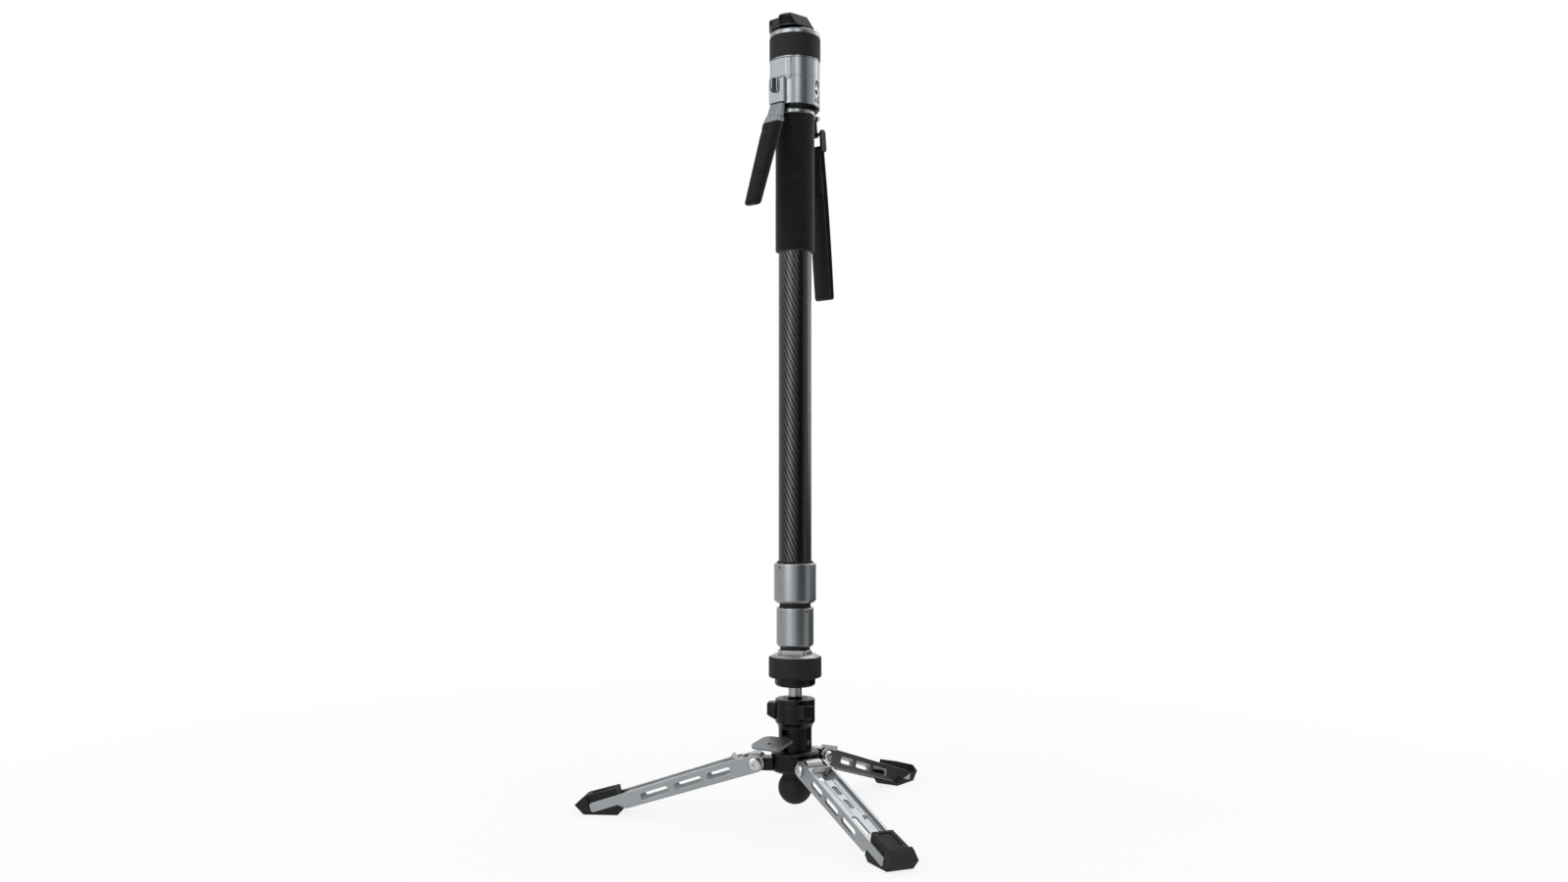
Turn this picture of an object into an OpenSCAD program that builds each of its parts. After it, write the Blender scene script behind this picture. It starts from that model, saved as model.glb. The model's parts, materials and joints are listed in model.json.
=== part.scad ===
// Camera monopod with a squeeze lever, two telescoping stages and a folding three-leg base.
// Millimetres. The origin lies on the floor under the column's axis, and +Z points up.

/* [Carbon tubes] */
// Outer diameter of the main tube
main_od = 32; // [31:0.5:34]
// Wall of each tube
tube_wall = 1.3; // [1.1:0.1:1.5]
// Radial step between a tube's bore and the tube that slides in it
tube_step = 0.7; // [0.6:0.1:0.9]
// Length of carbon that shows between the upper collar and the grip
main_show = 302.5; // [280:0.5:330]
// Room over the middle tube's clutch, under the head's plug
mid_headroom = 11; // [8:1:30]
// Room over the lower tube's clutch, under the upper one
low_headroom = 4; // [3:1:20]
// Travel of each telescoping stage, which sets how far the rod's sleeve reaches down
stage_travel = 380; // [340:5:390]

/* [Collars] */
// Outer diameter of the upper collar
upper_collar_od = 40.8; // [39:0.2:42]
// Outer diameter of the lower collar
lower_collar_od = 36; // [34.5:0.5:38]
// Height of each collar
collar_h = 38; // [34:1:44]
// Chamfer at the foot of each collar
collar_chamfer = 2.4; // [1:0.2:3]
// Height of the wiper seal that shows under the upper collar
upper_seal_show = 4.5; // [4:0.5:8]
// Height of the wiper seal that shows under the lower collar
lower_seal_show = 2.5; // [1.5:0.5:4]
// Height of the bushing in each collar
bushing_h = 9; // [7:1:12]
// Height of the rubber lip above the upper collar
lip_h = 2; // [1:0.5:4]

/* [Handle] */
// Length of the foam grip
grip_len = 133; // [120:1:150]
// Outer diameter of the foam grip
grip_od = 38; // [37:0.2:38.4]
// Height of the grip's end ring
ferrule_h = 4; // [3:0.5:5]
// Outer diameter of the grip's end ring
ferrule_od = 39.6; // [39:0.2:40]

/* [Head] */
// Outer diameter of the head
head_od = 48.6; // [48:0.2:50]
// Height of the black flange under the head
head_flange_h = 4; // [3:0.5:6]
// Height of the lower half of the head
head_low_h = 27; // [26:0.5:30]
// Height of the upper half of the head
head_top_h = 18; // [14:0.5:24]
// Direction of the lever around the column
lever_az = -127; // [-131:1:-123]
// Distance of the head's flat face from the axis
face_u = 24; // [23.6:0.1:24.2]
// Half width of the head's flat face
face_half = 9.4; // [8.5:0.1:10]
// Wall of the lever bracket in front of the pivot
bracket_wall = 1.7; // [1.5:0.1:3]
// Half width of the lever bracket
bracket_half = 9.5; // [9:0.1:11]
// Depth of the head's plug inside the main tube
head_plug_len = 32; // [20:1:36]

/* [Head lock] */
// Outer diameter of the head lock ring
qr_ring_od = 50; // [49.6:0.2:54]
// Height of the head lock ring
qr_ring_h = 23.2; // [18:0.2:28]
// Diameter of the crown's neck
qr_neck_od = 34; // [32:0.5:36]
// Outer diameter of the clamp collar
qr_collar_od = 49; // [46:0.5:50]
// Height of the clamp collar
qr_collar_h = 5.2; // [4.6:0.2:7]
// Room that the clamp collar has to rise
qr_lift = 1.6; // [1.6:0.1:2.4]
// Outer diameter of the crown
crown_od = 50.8; // [49:0.2:52]
// Height of the crown
crown_h = 12.7; // [11:0.1:15]
// Diameter of the camera head's thread
head_thread_d = 9.525; // [6.35:0.005:9.525]
// Depth of the camera head's thread
head_thread_len = 14; // [10:1:18]

/* [Accessory port] */
// Direction of the accessory port
port_az = -21; // [-30:1:-15]
// Length of the port's recess
port_len = 23; // [21:0.5:24]
// Width of the port's recess
port_w = 9.6; // [9.2:0.1:11]
// Diameter of the accessory thread
port_thread_d = 6.35; // [5:0.05:6.35]
// Outer diameter of the thread insert
port_insert_od = 8.4; // [7.6:0.1:8.8]
// Depth of the thread insert
port_insert_len = 8; // [6:0.5:9]

/* [Squeeze lever] */
// Distance of the lever's pivot from the axis
lever_pivot_u = 23.5; // [23.2:0.1:23.8]
// Height of the lever's pivot above the head's underside
lever_pivot_up = 6; // [5.8:0.1:6.2]
// Diameter of the lever's pivot pin
lever_pin_d = 3; // [2.5:0.1:3.4]
// Slope of the lever outwards from the vertical
lever_slope = 18.8; // [17:0.2:22]
// Length of the rubber sleeve on the lever
sleeve_len = 88.5; // [80:0.5:110]
// Width of the sleeve at its top
sleeve_top_w = 22; // [20:0.5:24]
// Width of the sleeve at its foot
sleeve_foot_w = 17.5; // [15:0.5:20]
// Thickness of the sleeve
sleeve_t = 10; // [9:0.2:11]
// Diameter of the release rod
rod_d = 6; // [5:0.2:6.4]
// Diameter of the lever lock knob
knob_d = 13.4; // [12:0.2:13.8]
// Wall between the lever's pocket and the knob's recess
knob_wall = 0.7; // [0.6:0.1:1.5]

/* [Wrist strap] */
// Distance of the strap's pin from the axis
strap_pin_u = 26; // [25.5:0.5:28]
// Diameter of the strap's pin
strap_pin_d = 3.4; // [3:0.2:3.6]
// Width of the webbing
web_w = 20; // [16:0.5:22]
// Thickness of the webbing
web_t = 1.6; // [1.2:0.1:2]
// Length of the doubled webbing, from its bar to the fold
strap_drop = 146; // [120:1:160]
// Height of the strap's buckle
buckle_h = 22.5; // [20:0.5:28]
// Lean of the strap away from the grip
strap_lean = 5.9; // [4:0.1:8]

/* [Base lock] */
// Outer diameter of the base lock ring
base_ring_od = 51; // [50:0.5:54]
// Height of the base lock ring
base_ring_h = 20.5; // [18:0.5:24]
// Diameter of the ring's bearing on the receiver cup
cup_od = 39.8; // [39:0.2:41]
// Outer diameter of the black base flange
base_flange_od = 39.5; // [38:0.5:42]
// Height of the black base flange
base_flange_h = 8; // [6:0.5:9]
// Outer diameter of the tube plug
plug_od = 33.2; // [32:0.2:34]
// Distance of the plug's flats from the axis
plug_flat = 13.5; // [13.2:0.1:15]
// Height of the tube plug above the base flange
plug_h = 27; // [26:0.5:32]

/* [Ball joint] */
// Diameter of the ball
ball_d = 28; // [27:0.5:28.4]
// Diameter of the stem
stem_d = 13; // [12:0.2:14]
// Height of the base flange above the ball's centre
stem_rise = 22.5; // [21:0.5:26]
// Wall of the cup around the ball
cup_wall = 3.5; // [3:0.1:4]
// Wall of the housing around the cup
housing_wall = 1.6; // [1.4:0.1:2.4]
// Height of the housing's rim above the ball's centre
rim_rise = 3.5; // [3:0.5:4.5]
// Height of the ball cap
cap_h = 7; // [6.5:0.5:7.5]
// Width of a boss on the housing
boss_w = 14; // [10:0.5:16]

/* [Column and hub] */
// Outer diameter of the column
column_od = 32; // [31:0.5:33]
// Height of the column between the hub and the housing
column_h = 22; // [21:0.5:26]
// Bore of the column
column_bore = 20; // [16:0.5:22]
// Outer diameter of the hub
hub_od = 46; // [42:0.5:48]
// Height of the hub
hub_h = 20; // [18:0.5:22]
// Height of the hub's underside above the floor
hub_lift = 44; // [43:0.5:45]
// Diameter of the rubber ball foot
foot_ball_d = 32.6; // [28:0.2:36]
// Diameter of the ball foot's neck
foot_neck_d = 24.6; // [20:0.2:26]

/* [Pedal] */
// Direction of the pedal around the column
pedal_az = 240; // [236:1:244]
// Thickness of the pedal plate
pedal_t = 2.5; // [2:0.1:3]
// Reach of the pedal from the axis
pedal_reach = 52.5; // [48:0.5:58]
// Half width of the pedal
pedal_half = 17.5; // [14:0.5:18]
// Width of the slot that the pedal passes through
pedal_slot = 9; // [8:0.5:11]
// Diameter of the pedal's pin
pedal_pin_d = 4; // [3.4:0.2:4.4]
// Height of the pedal's pin above the hub
pedal_pin_up = 8.5; // [8:0.5:10]
// Angle at which the pedal's plate slopes down outwards
pedal_slope = 12; // [8:1:14]
// Angle that the pedal presses down
pedal_press = 12; // [8:1:12]

/* [Legs] */
// Distance of a leg's hinge from the axis
hinge_u = 37.5; // [37:0.5:39]
// Height of a leg's hinge above the hub's underside
hinge_up = 8; // [7.6:0.2:9]
// Outer width of a leg
leg_w = 25.8; // [25:0.2:27]
// Thickness of a leg's side plates
leg_plate_t = 2.6; // [2:0.1:3]
// Height of a leg's top edge over its hinge line
leg_top = 9.5; // [9:0.1:9.8]
// Length of a leg from its hinge to the plate's end
leg_len = 167; // [155:1:185]
// Diameter of the hinge bolts
bolt_d = 8; // [6:0.2:8.4]
// Diameter of the hinge bolts' heads
bolt_head_d = 13; // [11:0.2:14]
// Length of the sole on the floor
sole_len = 33.3; // [30:0.2:36]

/* [Fits] */
// Radial clearance of a fixed fit
fit = 0.05; // [0.02:0.01:0.1]
// Radial clearance of a running fit
run = 0.1; // [0.05:0.01:0.1]
// Gap between pieces that pass each other
pass = 0.3; // [0.2:0.05:0.4]

/* [Hidden] */
$fn = 96;
LEGS = [1, 2, 3];

// Finishes
black_metal = "#202224";
grey_metal = "#83898e";
steel = "#b9bdc0";
rubber = "#1b1b1c";
carbon = "#26272a";
nylon = "#2c2c2e";

// Tube radii
main_r = main_od / 2;
main_bore = main_r - tube_wall;
mid_r = main_bore - tube_step;
mid_bore = mid_r - tube_wall;
low_r = mid_bore - tube_step;
low_bore = low_r - tube_wall;

// Levels from the floor up
hub_top = hub_lift + hub_h;
column_top = hub_top + column_h;
ball_r = ball_d / 2;
cup_seat = 2;
cup_floor = 1;
cup_slope = 4.2;
cup_z = column_top + cup_seat;
ball_z = cup_z + cup_floor + ball_r;
cup_r = ball_r + cup_wall;
housing_r = cup_r + run + housing_wall;
housing_top = ball_z + rim_rise;
cap_top = housing_top + cap_h;
stem_r = stem_d / 2;
spindle_r = 5;
flange_z = ball_z + stem_rise;
flange_top = flange_z + base_flange_h;
plug_top = flange_top + plug_h;
low_collar_z = plug_top + lower_seal_show;
low_collar_top = low_collar_z + collar_h;
up_collar_z = low_collar_top + upper_seal_show;
up_collar_top = up_collar_z + collar_h;
grip_z = up_collar_top + main_show;
grip_top = grip_z + grip_len;
ferrule_top = grip_top + ferrule_h;
head_z = ferrule_top + head_flange_h;
seam_z = head_z + head_low_h;
head_top = seam_z + head_top_h;
qr_ring_z = head_top + pass;
qr_ring_top = qr_ring_z + qr_ring_h;
qr_collar_z = qr_ring_top + pass;
qr_collar_top = qr_collar_z + qr_collar_h;
crown_z = qr_collar_top + qr_lift;
crown_top = crown_z + crown_h;

// Tubes and their clutches
collar_seat = bushing_h + 1;
main_z = up_collar_z + collar_seat;
mid_z = low_collar_z + collar_seat;
plug_socket = 14;
low_z = plug_top - plug_socket;
clutch_spigot = 12;
clutch_head = 14;
mid_top = head_z - head_plug_len - mid_headroom - clutch_head;
low_top = mid_top - clutch_spigot - low_headroom - clutch_head;

// Head
head_r = head_od / 2;
lever_pivot_z = head_z + lever_pivot_up;
lever_hub_r = 3.4;
lever_hub_half = 6.2;
fork_half = 5.5;
fork_gap = rod_d / 2 + 0.5;
fork_tip_u = 0.5;
fork_t = 5;
bracket_u = lever_pivot_u + lever_hub_r + 0.6 + bracket_wall;
lever_pocket_top = lever_pivot_z + lever_hub_r + 0.4;
spring_half = 2.5;
rod_cavity_r = 5;
rod_collar_h = 2.5;
rod_collar_z = lever_pivot_z + fork_t / 2 + pass;
squeeze_room = 5.2;
knob_z = lever_pocket_top + knob_wall + pass + knob_d / 2;
port_z = head_z + head_low_h / 2 + 0.2;
port_floor_u = head_r - 1.4;
strap_az = lever_az + 180;
strap_pin_z = ferrule_top - 1.5;

// The crown's four leaning flats: direction, distance from the axis at the foot and at the top, and
// where each starts and ends across it
crown_half = crown_od / 2;
crown_flats = [
  [-43, crown_half - 4.6, crown_half - 11.2, -crown_half, crown_half],
  [-131, crown_half - 2, crown_half - 8.2, -14.8, 3],
  [5, crown_half - 6.8, crown_half - 13.6, -crown_half, crown_half],
  [97, crown_half - 4.6, crown_half - 11.2, -crown_half, crown_half]
];

// Pedal and plunger
pedal_pin_z = hub_top + pedal_pin_up;
pedal_hub_r = pedal_pin_d / 2 + 1.5;
pedal_tail = 8.5;
plunger_z = pedal_pin_z + pedal_hub_r + pass;
plunger_lift = pedal_tail * sin(pedal_press) - pedal_hub_r * (1 - cos(pedal_press));

// Legs
function leg_az(n) = 180 + 120 * (n - 1);
hinge_z = hub_lift + hinge_up;
// The plate's hinge line comes this close to the floor at its ankle, short of the plate's end
ankle_z = 5.1;
ankle_s = leg_len - 12;
leg_slope = asin((hinge_z - ankle_z) / ankle_s);
leg_end_u = hinge_u + leg_len * cos(leg_slope);
sole_in = leg_end_u - 25.3;
boss_reach = hinge_u - leg_top - 1;
plate_y = leg_w / 2 - leg_plate_t;
knuckle_half = plate_y - 2.3;
cam_r = 9.3;
knuckle_r = 6;
hinge_end_r = 8.4;
web_h = 6.5;
web_t_leg = 2.4;
foot_start = leg_len - 30;
notch_back = 4;
notch_s = foot_start - notch_back;
heel_h = 0.4;

// A tube of revolution between two radii and two levels
module sleeve(r_out, r_in, z0, z1) {
  translate([0, 0, z0]) difference() {
    cylinder(r = r_out, h = z1 - z0);
    translate([0, 0, -1]) cylinder(r = r_in, h = z1 - z0 + 2);
  }
}

// A solid of revolution from points given as radius and height
module turned(points) {
  rotate_extrude() polygon(points);
}

// A thickness centred on the plane of a profile drawn along X and Z
module upright(t) {
  rotate([90, 0, 0]) linear_extrude(height = t, center = true) children();
}

// A slot with round ends, centred, along X
module slot_outline(len, w) {
  square([len - w, w], center = true);
  for (side = [-1, 1]) translate([side * (len - w) / 2, 0]) circle(d = w);
}

// A cylinder along Y, centred
module cross_rod(r, len) {
  rotate([90, 0, 0]) cylinder(r = r, h = len, center = true);
}

// A cylinder along X from x0 to x1
module radial_rod(r, x0, x1) {
  translate([x0, 0, 0]) rotate([0, 90, 0]) cylinder(r = r, h = x1 - x0);
}

// A cylinder of radius r with a bevel at its top and foot, as a turned outline with a bore
module bevel_ring(r_out, r_in, z0, z1, foot, top) {
  turned([
    [r_in, z0], [r_out - foot, z0], [r_out, z0 + foot],
    [r_out, z1 - top], [r_out - top, z1], [r_in, z1]
  ]);
}

// A coil of round wire about Y, as one unbroken tube of six sides
module coil(mean_r, wire_d, turns, pitch) {
  steps = turns * 12;
  sides = 6;
  function ring_point(i, k) =
    let (a = 30 * i, b = 60 * k, rr = mean_r + wire_d / 2 * cos(b))
    [rr * cos(a), pitch * (i / 12 - turns / 2) + wire_d / 2 * sin(b), rr * sin(a)];
  points = [for (i = [0:steps]) for (k = [0:sides - 1]) ring_point(i, k)];
  walls = [for (i = [0:steps - 1]) for (k = [0:sides - 1])
    let (a = i * sides + k, b = i * sides + (k + 1) % sides)
    each [[a, b, b + sides], [a, b + sides, a + sides]]];
  start = [for (k = [1:sides - 2]) [0, k + 1, k]];
  end = [for (k = [1:sides - 2]) [steps * sides, steps * sides + k, steps * sides + k + 1]];
  polyhedron(points, concat(walls, start, end));
}

// Places a leg's own frame: X along the leg from its hinge, Y across it, Z off its top
module on_leg(n) {
  rotate([0, 0, leg_az(n)]) translate([hinge_u, 0, hinge_z]) rotate([0, leg_slope, 0]) children();
}

// Places the lever's own frame: X radial and Z up, with the pivot at the origin
module at_lever() {
  rotate([0, 0, lever_az]) translate([lever_pivot_u, 0, lever_pivot_z]) children();
}

// Base

module leg_hub() {
  arm_top = 5;
  arm_foot = -7.2;
  edge = 2;
  color(black_metal) difference() {
    union() {
      bevel_ring(hub_od / 2, column_bore / 2 - 2, hub_lift, hub_top, edge, edge);
      for (n = LEGS) rotate([0, 0, leg_az(n)]) {
        translate([column_bore / 2, -knuckle_half, hinge_z + arm_foot])
          cube([hinge_u - column_bore / 2, 2 * knuckle_half, arm_top - arm_foot]);
        translate([hinge_u, 0, hinge_z]) cross_rod(knuckle_r, 2 * knuckle_half);
      }
    }
    translate([0, 0, hub_lift + 6]) cylinder(r = column_bore / 2 + 4, h = hub_h);
    for (n = LEGS) rotate([0, 0, leg_az(n)]) translate([hinge_u, 0, hinge_z])
      cross_rod(bolt_d / 2 + fit, 2 * knuckle_half + 2);
  }
}

module base_column() {
  wall_foot = hub_lift + 6;
  slot_top = column_top - 1.5;
  color(black_metal) difference() {
    union() {
      translate([0, 0, hub_top]) cylinder(r = column_od / 2, h = column_h);
      translate([0, 0, wall_foot]) cylinder(r = column_bore / 2 + 4 - fit, h = hub_top - wall_foot);
    }
    translate([0, 0, wall_foot - 1]) cylinder(r = column_bore / 2, h = column_top);
    rotate([0, 0, pedal_az]) {
      translate([0, -pedal_slot / 2, hub_top + 0.01])
        cube([column_od, pedal_slot, slot_top - hub_top]);
      translate([0, 0, pedal_pin_z]) cross_rod(pedal_pin_d / 2 + fit, column_od + 4);
    }
  }
}

module ball_housing() {
  bore = cup_r + run;
  inner = bore + housing_wall / 2;
  boss_foot = ball_z - 5.5;
  boss_top = cap_top - 3.7;
  slope = (boss_reach - housing_r) / 2;
  edge = 1.5;
  taper = 2.5;
  neck_r = column_od / 2 + 0.5;
  neck_h = 1.6;
  shoulder = 3.6;
  pocket_d = 5.6;
  pocket_u = housing_r + pass + (boss_reach - housing_r) / 2;
  color(black_metal) difference() {
    union() {
      turned([
        [column_bore / 2, column_top], [neck_r, column_top], [neck_r, column_top + neck_h],
        [housing_r, column_top + neck_h + shoulder], [housing_r, housing_top], [column_bore / 2, housing_top]
      ]);
      for (n = LEGS) rotate([0, 0, leg_az(n)]) intersection() {
        upright(boss_w) polygon([
          [inner, boss_foot - slope], [housing_r, boss_foot - slope],
          [boss_reach, boss_foot], [boss_reach, boss_top - edge],
          [boss_reach - edge, boss_top], [housing_r + pass, boss_top],
          [housing_r + pass, housing_top], [inner, housing_top]
        ]);
        linear_extrude(height = cap_top) polygon([
          [0, -boss_w / 2], [housing_r, -boss_w / 2], [boss_reach, taper - boss_w / 2],
          [boss_reach, boss_w / 2 - taper], [housing_r, boss_w / 2], [0, boss_w / 2]
        ]);
      }
    }
    for (n = LEGS) rotate([0, 0, leg_az(n)]) translate([pocket_u, 0, boss_top - 1.4])
      cylinder(d = pocket_d, h = 2);
    cup_block(bore, cup_z - pass, cap_top);
  }
}

// The turned block of the ball's cup, with a sloped foot
module cup_block(r, z0, z1) {
  turned([[0, z0], [r - cup_slope, z0], [r, z0 + cup_slope], [r, z1], [0, z1]]);
}

module ball_cap() {
  edge = 0.8;
  mouth = 1.2;
  mouth_r = sqrt(pow(ball_r + 0.4, 2) - pow(cap_top - mouth - ball_z, 2));
  color(black_metal) difference() {
    bevel_ring(housing_r, stem_r, housing_top, cap_top, 0, edge);
    translate([0, 0, ball_z]) sphere(r = ball_r + 0.4);
    translate([0, 0, cap_top - mouth]) cylinder(r1 = mouth_r, r2 = mouth_r + 2.4, h = mouth + 0.01);
  }
}

module ball_foot() {
  ball = foot_ball_d / 2;
  neck = foot_neck_d / 2;
  neck_len = 4;
  fillet = 3.2;
  drop = sqrt(pow(ball + fillet, 2) - pow(neck + fillet, 2));
  centre = hub_lift - neck_len - drop;
  lean = atan2(drop, neck + fillet);
  color(rubber) {
    turned(concat(
      [[0, centre - ball]],
      [for (a = [-85:5:floor(lean / 5) * 5 - 5]) [ball * cos(a), centre + ball * sin(a)]],
      [for (a = [0:0.25:1]) let (t = 180 + lean * (1 - a))
        [neck + fillet + fillet * cos(t), hub_lift - neck_len + fillet * sin(t)]],
      [[neck, hub_lift], [0, hub_lift]]
    ));
    translate([0, 0, hub_lift]) cylinder(r = column_bore / 2 - 2 - fit, h = 5.5);
  }
}

module hinge_bolts() {
  head_in = leg_w / 2 + pass;
  head_t = 2.6;
  socket = 2.4;
  color(steel) for (n = LEGS) rotate([0, 0, leg_az(n)]) translate([hinge_u, 0, hinge_z]) {
    difference() {
      union() {
        cross_rod(bolt_d / 2, 2 * head_in);
        for (side = [-90, 90]) rotate([side, 0, 0]) rotate_extrude() polygon([
          [0, head_in], [bolt_head_d / 2, head_in], [bolt_head_d / 2, head_in + 0.8],
          [bolt_head_d / 2 - 0.7, head_in + 1.7], [bolt_head_d / 2 - 2.2, head_in + head_t],
          [0, head_in + head_t]
        ]);
      }
      for (side = [-90, 90]) rotate([side, 0, 0]) translate([0, 0, head_in + head_t - 1.6])
        cylinder(r = socket, h = 2, $fn = 6);
    }
  }
}

module hinge_cams() {
  from = -60;
  to = 118;
  color(steel) for (n = LEGS) rotate([0, 0, leg_az(n)]) translate([hinge_u, 0, hinge_z])
    rotate([90, -from, 0]) translate([0, 0, -knuckle_half])
      rotate_extrude(angle = to - from) translate([knuckle_r + fit, 0])
        square([cam_r - knuckle_r - fit, 2 * knuckle_half]);
}

module pedal_pin() {
  color(steel) rotate([0, 0, pedal_az]) translate([0, 0, pedal_pin_z])
    cross_rod(pedal_pin_d / 2, column_od - 0.6);
}

module pedal_spring() {
  wire = 0.8;
  turns = 3;
  pitch = 1.3;
  color(steel) rotate([0, 0, pedal_az]) translate([0, pedal_slot / 2 + 2.2, pedal_pin_z])
    coil(pedal_pin_d / 2 + wire / 2 + 0.2, wire, turns, pitch);
}

module pedal() {
  hub_half = pedal_slot / 2 - 0.6;
  plate_top = pedal_pin_z + 6.8;
  plate_z = plate_top - pedal_t;
  inner = column_od / 2 + 8;
  plate_len = (pedal_reach - inner) / cos(pedal_slope);
  root = 4;
  dip = root * tan(pedal_slope);
  sunk = 0.4;
  neck_top = pedal_pin_z + pedal_hub_r - 0.6;
  tail_t = 3;
  corner = 8;
  hole_d = 6;
  color(grey_metal) rotate([0, 0, pedal_az]) difference() {
    union() {
      translate([0, 0, pedal_pin_z]) cross_rod(pedal_hub_r, 2 * hub_half);
      translate([-pedal_tail, -hub_half, pedal_pin_z + pedal_hub_r - tail_t])
        cube([pedal_tail, 2 * hub_half, tail_t]);
      upright(2 * hub_half) polygon([
        [0, pedal_pin_z - 2], [inner, plate_z - 1], [inner + root, plate_z - dip + sunk],
        [inner + root, plate_top - dip - sunk], [column_od / 2 - 2, plate_top - sunk / 2],
        [column_bore / 2 + pass, neck_top], [0, neck_top]
      ]);
      translate([inner, 0, plate_top]) rotate([0, pedal_slope, 0]) translate([plate_len / 2, 0, -pedal_t])
        linear_extrude(height = pedal_t) window_outline(plate_len, 2 * pedal_half, corner);
    }
    translate([0, 0, pedal_pin_z]) cross_rod(pedal_pin_d / 2 + run, 2 * hub_half + 2);
    translate([inner, 0, plate_top]) rotate([0, pedal_slope, 0])
      translate([plate_len / 2 + 1.5, 0, -pedal_t - 1]) cylinder(d = hole_d, h = pedal_t + 2);
  }
}

module lock_plunger() {
  top_z = cup_z - pass - plunger_lift;
  color(steel) translate([0, 0, plunger_z]) cylinder(r = column_bore / 2 - run, h = top_z - plunger_z);
}

module ball_cup() {
  drain_r = 7;
  color(nylon) difference() {
    cup_block(cup_r, cup_z, housing_top - pass);
    translate([0, 0, ball_z]) sphere(r = ball_r + run);
    translate([0, 0, cup_z - 1]) cylinder(r = drain_r, h = ball_r);
  }
}

module ball_stem() {
  head_r = spindle_r + 2.5;
  head_h = 3;
  head_foot = flange_top + 1 + pass;
  color(steel) {
    translate([0, 0, ball_z]) sphere(r = ball_r);
    translate([0, 0, ball_z]) cylinder(r = stem_r, h = stem_rise - pass);
    translate([0, 0, ball_z]) cylinder(r = spindle_r, h = head_foot + head_h - ball_z);
    translate([0, 0, head_foot]) cylinder(r = head_r, h = head_h);
  }
}

// Lower stage

module base_flange() {
  cup_in = plug_od / 2 + fit;
  color(black_metal) difference() {
    union() {
      bevel_ring(base_flange_od / 2, spindle_r + run, flange_z, flange_top, 2, 0.4);
      sleeve(cup_od / 2, spindle_r + run, flange_top - 0.5, flange_top + base_ring_h - 4.5);
    }
    translate([0, 0, flange_top + 1]) cylinder(r = cup_in, h = base_ring_h);
  }
}

module base_plug() {
  foot_z = flange_top + 1;
  color(steel) difference() {
    bevel_ring(plug_od / 2, 9, foot_z, plug_top, 0.5, 0.8);
    for (k = [0:2]) rotate([0, 0, -93.3 + 120 * k])
      translate([plug_flat, -plug_od, foot_z - 1]) cube([plug_od, 2 * plug_od, plug_h + 2]);
    translate([0, 0, low_z]) cylinder(r = low_r + fit, h = plug_socket + 1);
  }
}

module lower_tube() {
  color(carbon) sleeve(low_r, low_bore, low_z, low_top);
}

// A clutch that stands on the top of a tube and grips the bore of the next one
module clutch(tube_bore, next_bore, bore, tube_top) {
  color(nylon) turned([
    [bore, tube_top - clutch_spigot], [tube_bore - fit, tube_top - clutch_spigot],
    [tube_bore - fit, tube_top], [next_bore - run, tube_top],
    [next_bore - run, tube_top + clutch_head - 2], [next_bore - 2, tube_top + clutch_head],
    [bore, tube_top + clutch_head]
  ]);
}

sleeve_in = rod_d / 2 + 0.4;
sleeve_out = sleeve_in + 1;

module lower_clutch() {
  clutch(low_bore, mid_bore, sleeve_out + run, low_top);
}

module base_ring_core() {
  z0 = flange_top + pass;
  z1 = z0 + base_ring_h;
  wall = base_ring_od / 2 - 2;
  lip_in = plug_od / 2 + 0.4;
  rise = 1.7;
  slope_w = 3;
  color(steel) turned([
    [cup_od / 2 + run, z0], [wall, z0], [wall, z1 - 0.6], [wall - slope_w, z1 + rise],
    [lip_in, z1 + rise], [lip_in, z1 - 4], [cup_od / 2 + run, z1 - 4]
  ]);
}

// A soft sleeve with rounded outer edges
module ring_grip(r_out, r_in, z0, z1, soft) {
  turned(concat(
    [[r_in, z0]],
    [for (a = [-90:15:0]) [r_out - soft + soft * cos(a), z0 + soft + soft * sin(a)]],
    [for (a = [0:15:90]) [r_out - soft + soft * cos(a), z1 - soft + soft * sin(a)]],
    [[r_in, z1]]
  ));
}

module base_ring_grip() {
  z0 = flange_top + pass;
  color(rubber) ring_grip(base_ring_od / 2, base_ring_od / 2 - 2 + fit, z0, z0 + base_ring_h - 0.6, 1.6);
}

// Middle stage

module mid_tube() {
  color(carbon) sleeve(mid_r, mid_bore, mid_z, mid_top);
}

module upper_clutch() {
  clutch(mid_bore, main_bore, sleeve_out + fit, mid_top);
}

module rod_sleeve() {
  tail = 50;
  foot_z = mid_top - clutch_spigot - stage_travel - tail;
  color(steel) sleeve(sleeve_out, sleeve_in, foot_z, mid_top + clutch_head);
}

// A collar on the lower end of a tube, with its bushing seat below the tube
module collar(od, tube_r, z0) {
  bushing_r = tube_r + 1;
  color(grey_metal) difference() {
    bevel_ring(od / 2, tube_r + fit, z0, z0 + collar_h, collar_chamfer, 0.6);
    translate([0, 0, z0 - 1]) cylinder(r = bushing_r + fit, h = collar_seat + 1);
  }
}

// A plain bearing in a collar's foot, that guides the tube inside it
module bushing(tube_r, inner_r, z0) {
  color(nylon) sleeve(tube_r + 1, inner_r + run, z0 + collar_seat - bushing_h, z0 + collar_seat);
}

// A set screw in a collar's side, near its top
set_screw_r = 1;
set_screw_drop = 3.8;
module collar_screw(od, tube_r, z0, az) {
  color(black_metal) rotate([0, 0, az]) translate([0, 0, z0 + collar_h - set_screw_drop]) difference() {
    radial_rod(set_screw_r, tube_r + 0.5, od / 2 - 0.3);
    radial_rod(set_screw_r / 2, od / 2 - 1.2, od / 2 + 1, $fn = 6);
  }
}

// The hole that a collar's set screw fills
module collar_screw_hole(od, tube_r, z0, az) {
  rotate([0, 0, az]) translate([0, 0, z0 + collar_h - set_screw_drop])
    radial_rod(set_screw_r + fit, tube_r - 0.5, od);
}

low_screw_az = -45;
up_screw_az = -133;

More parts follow.
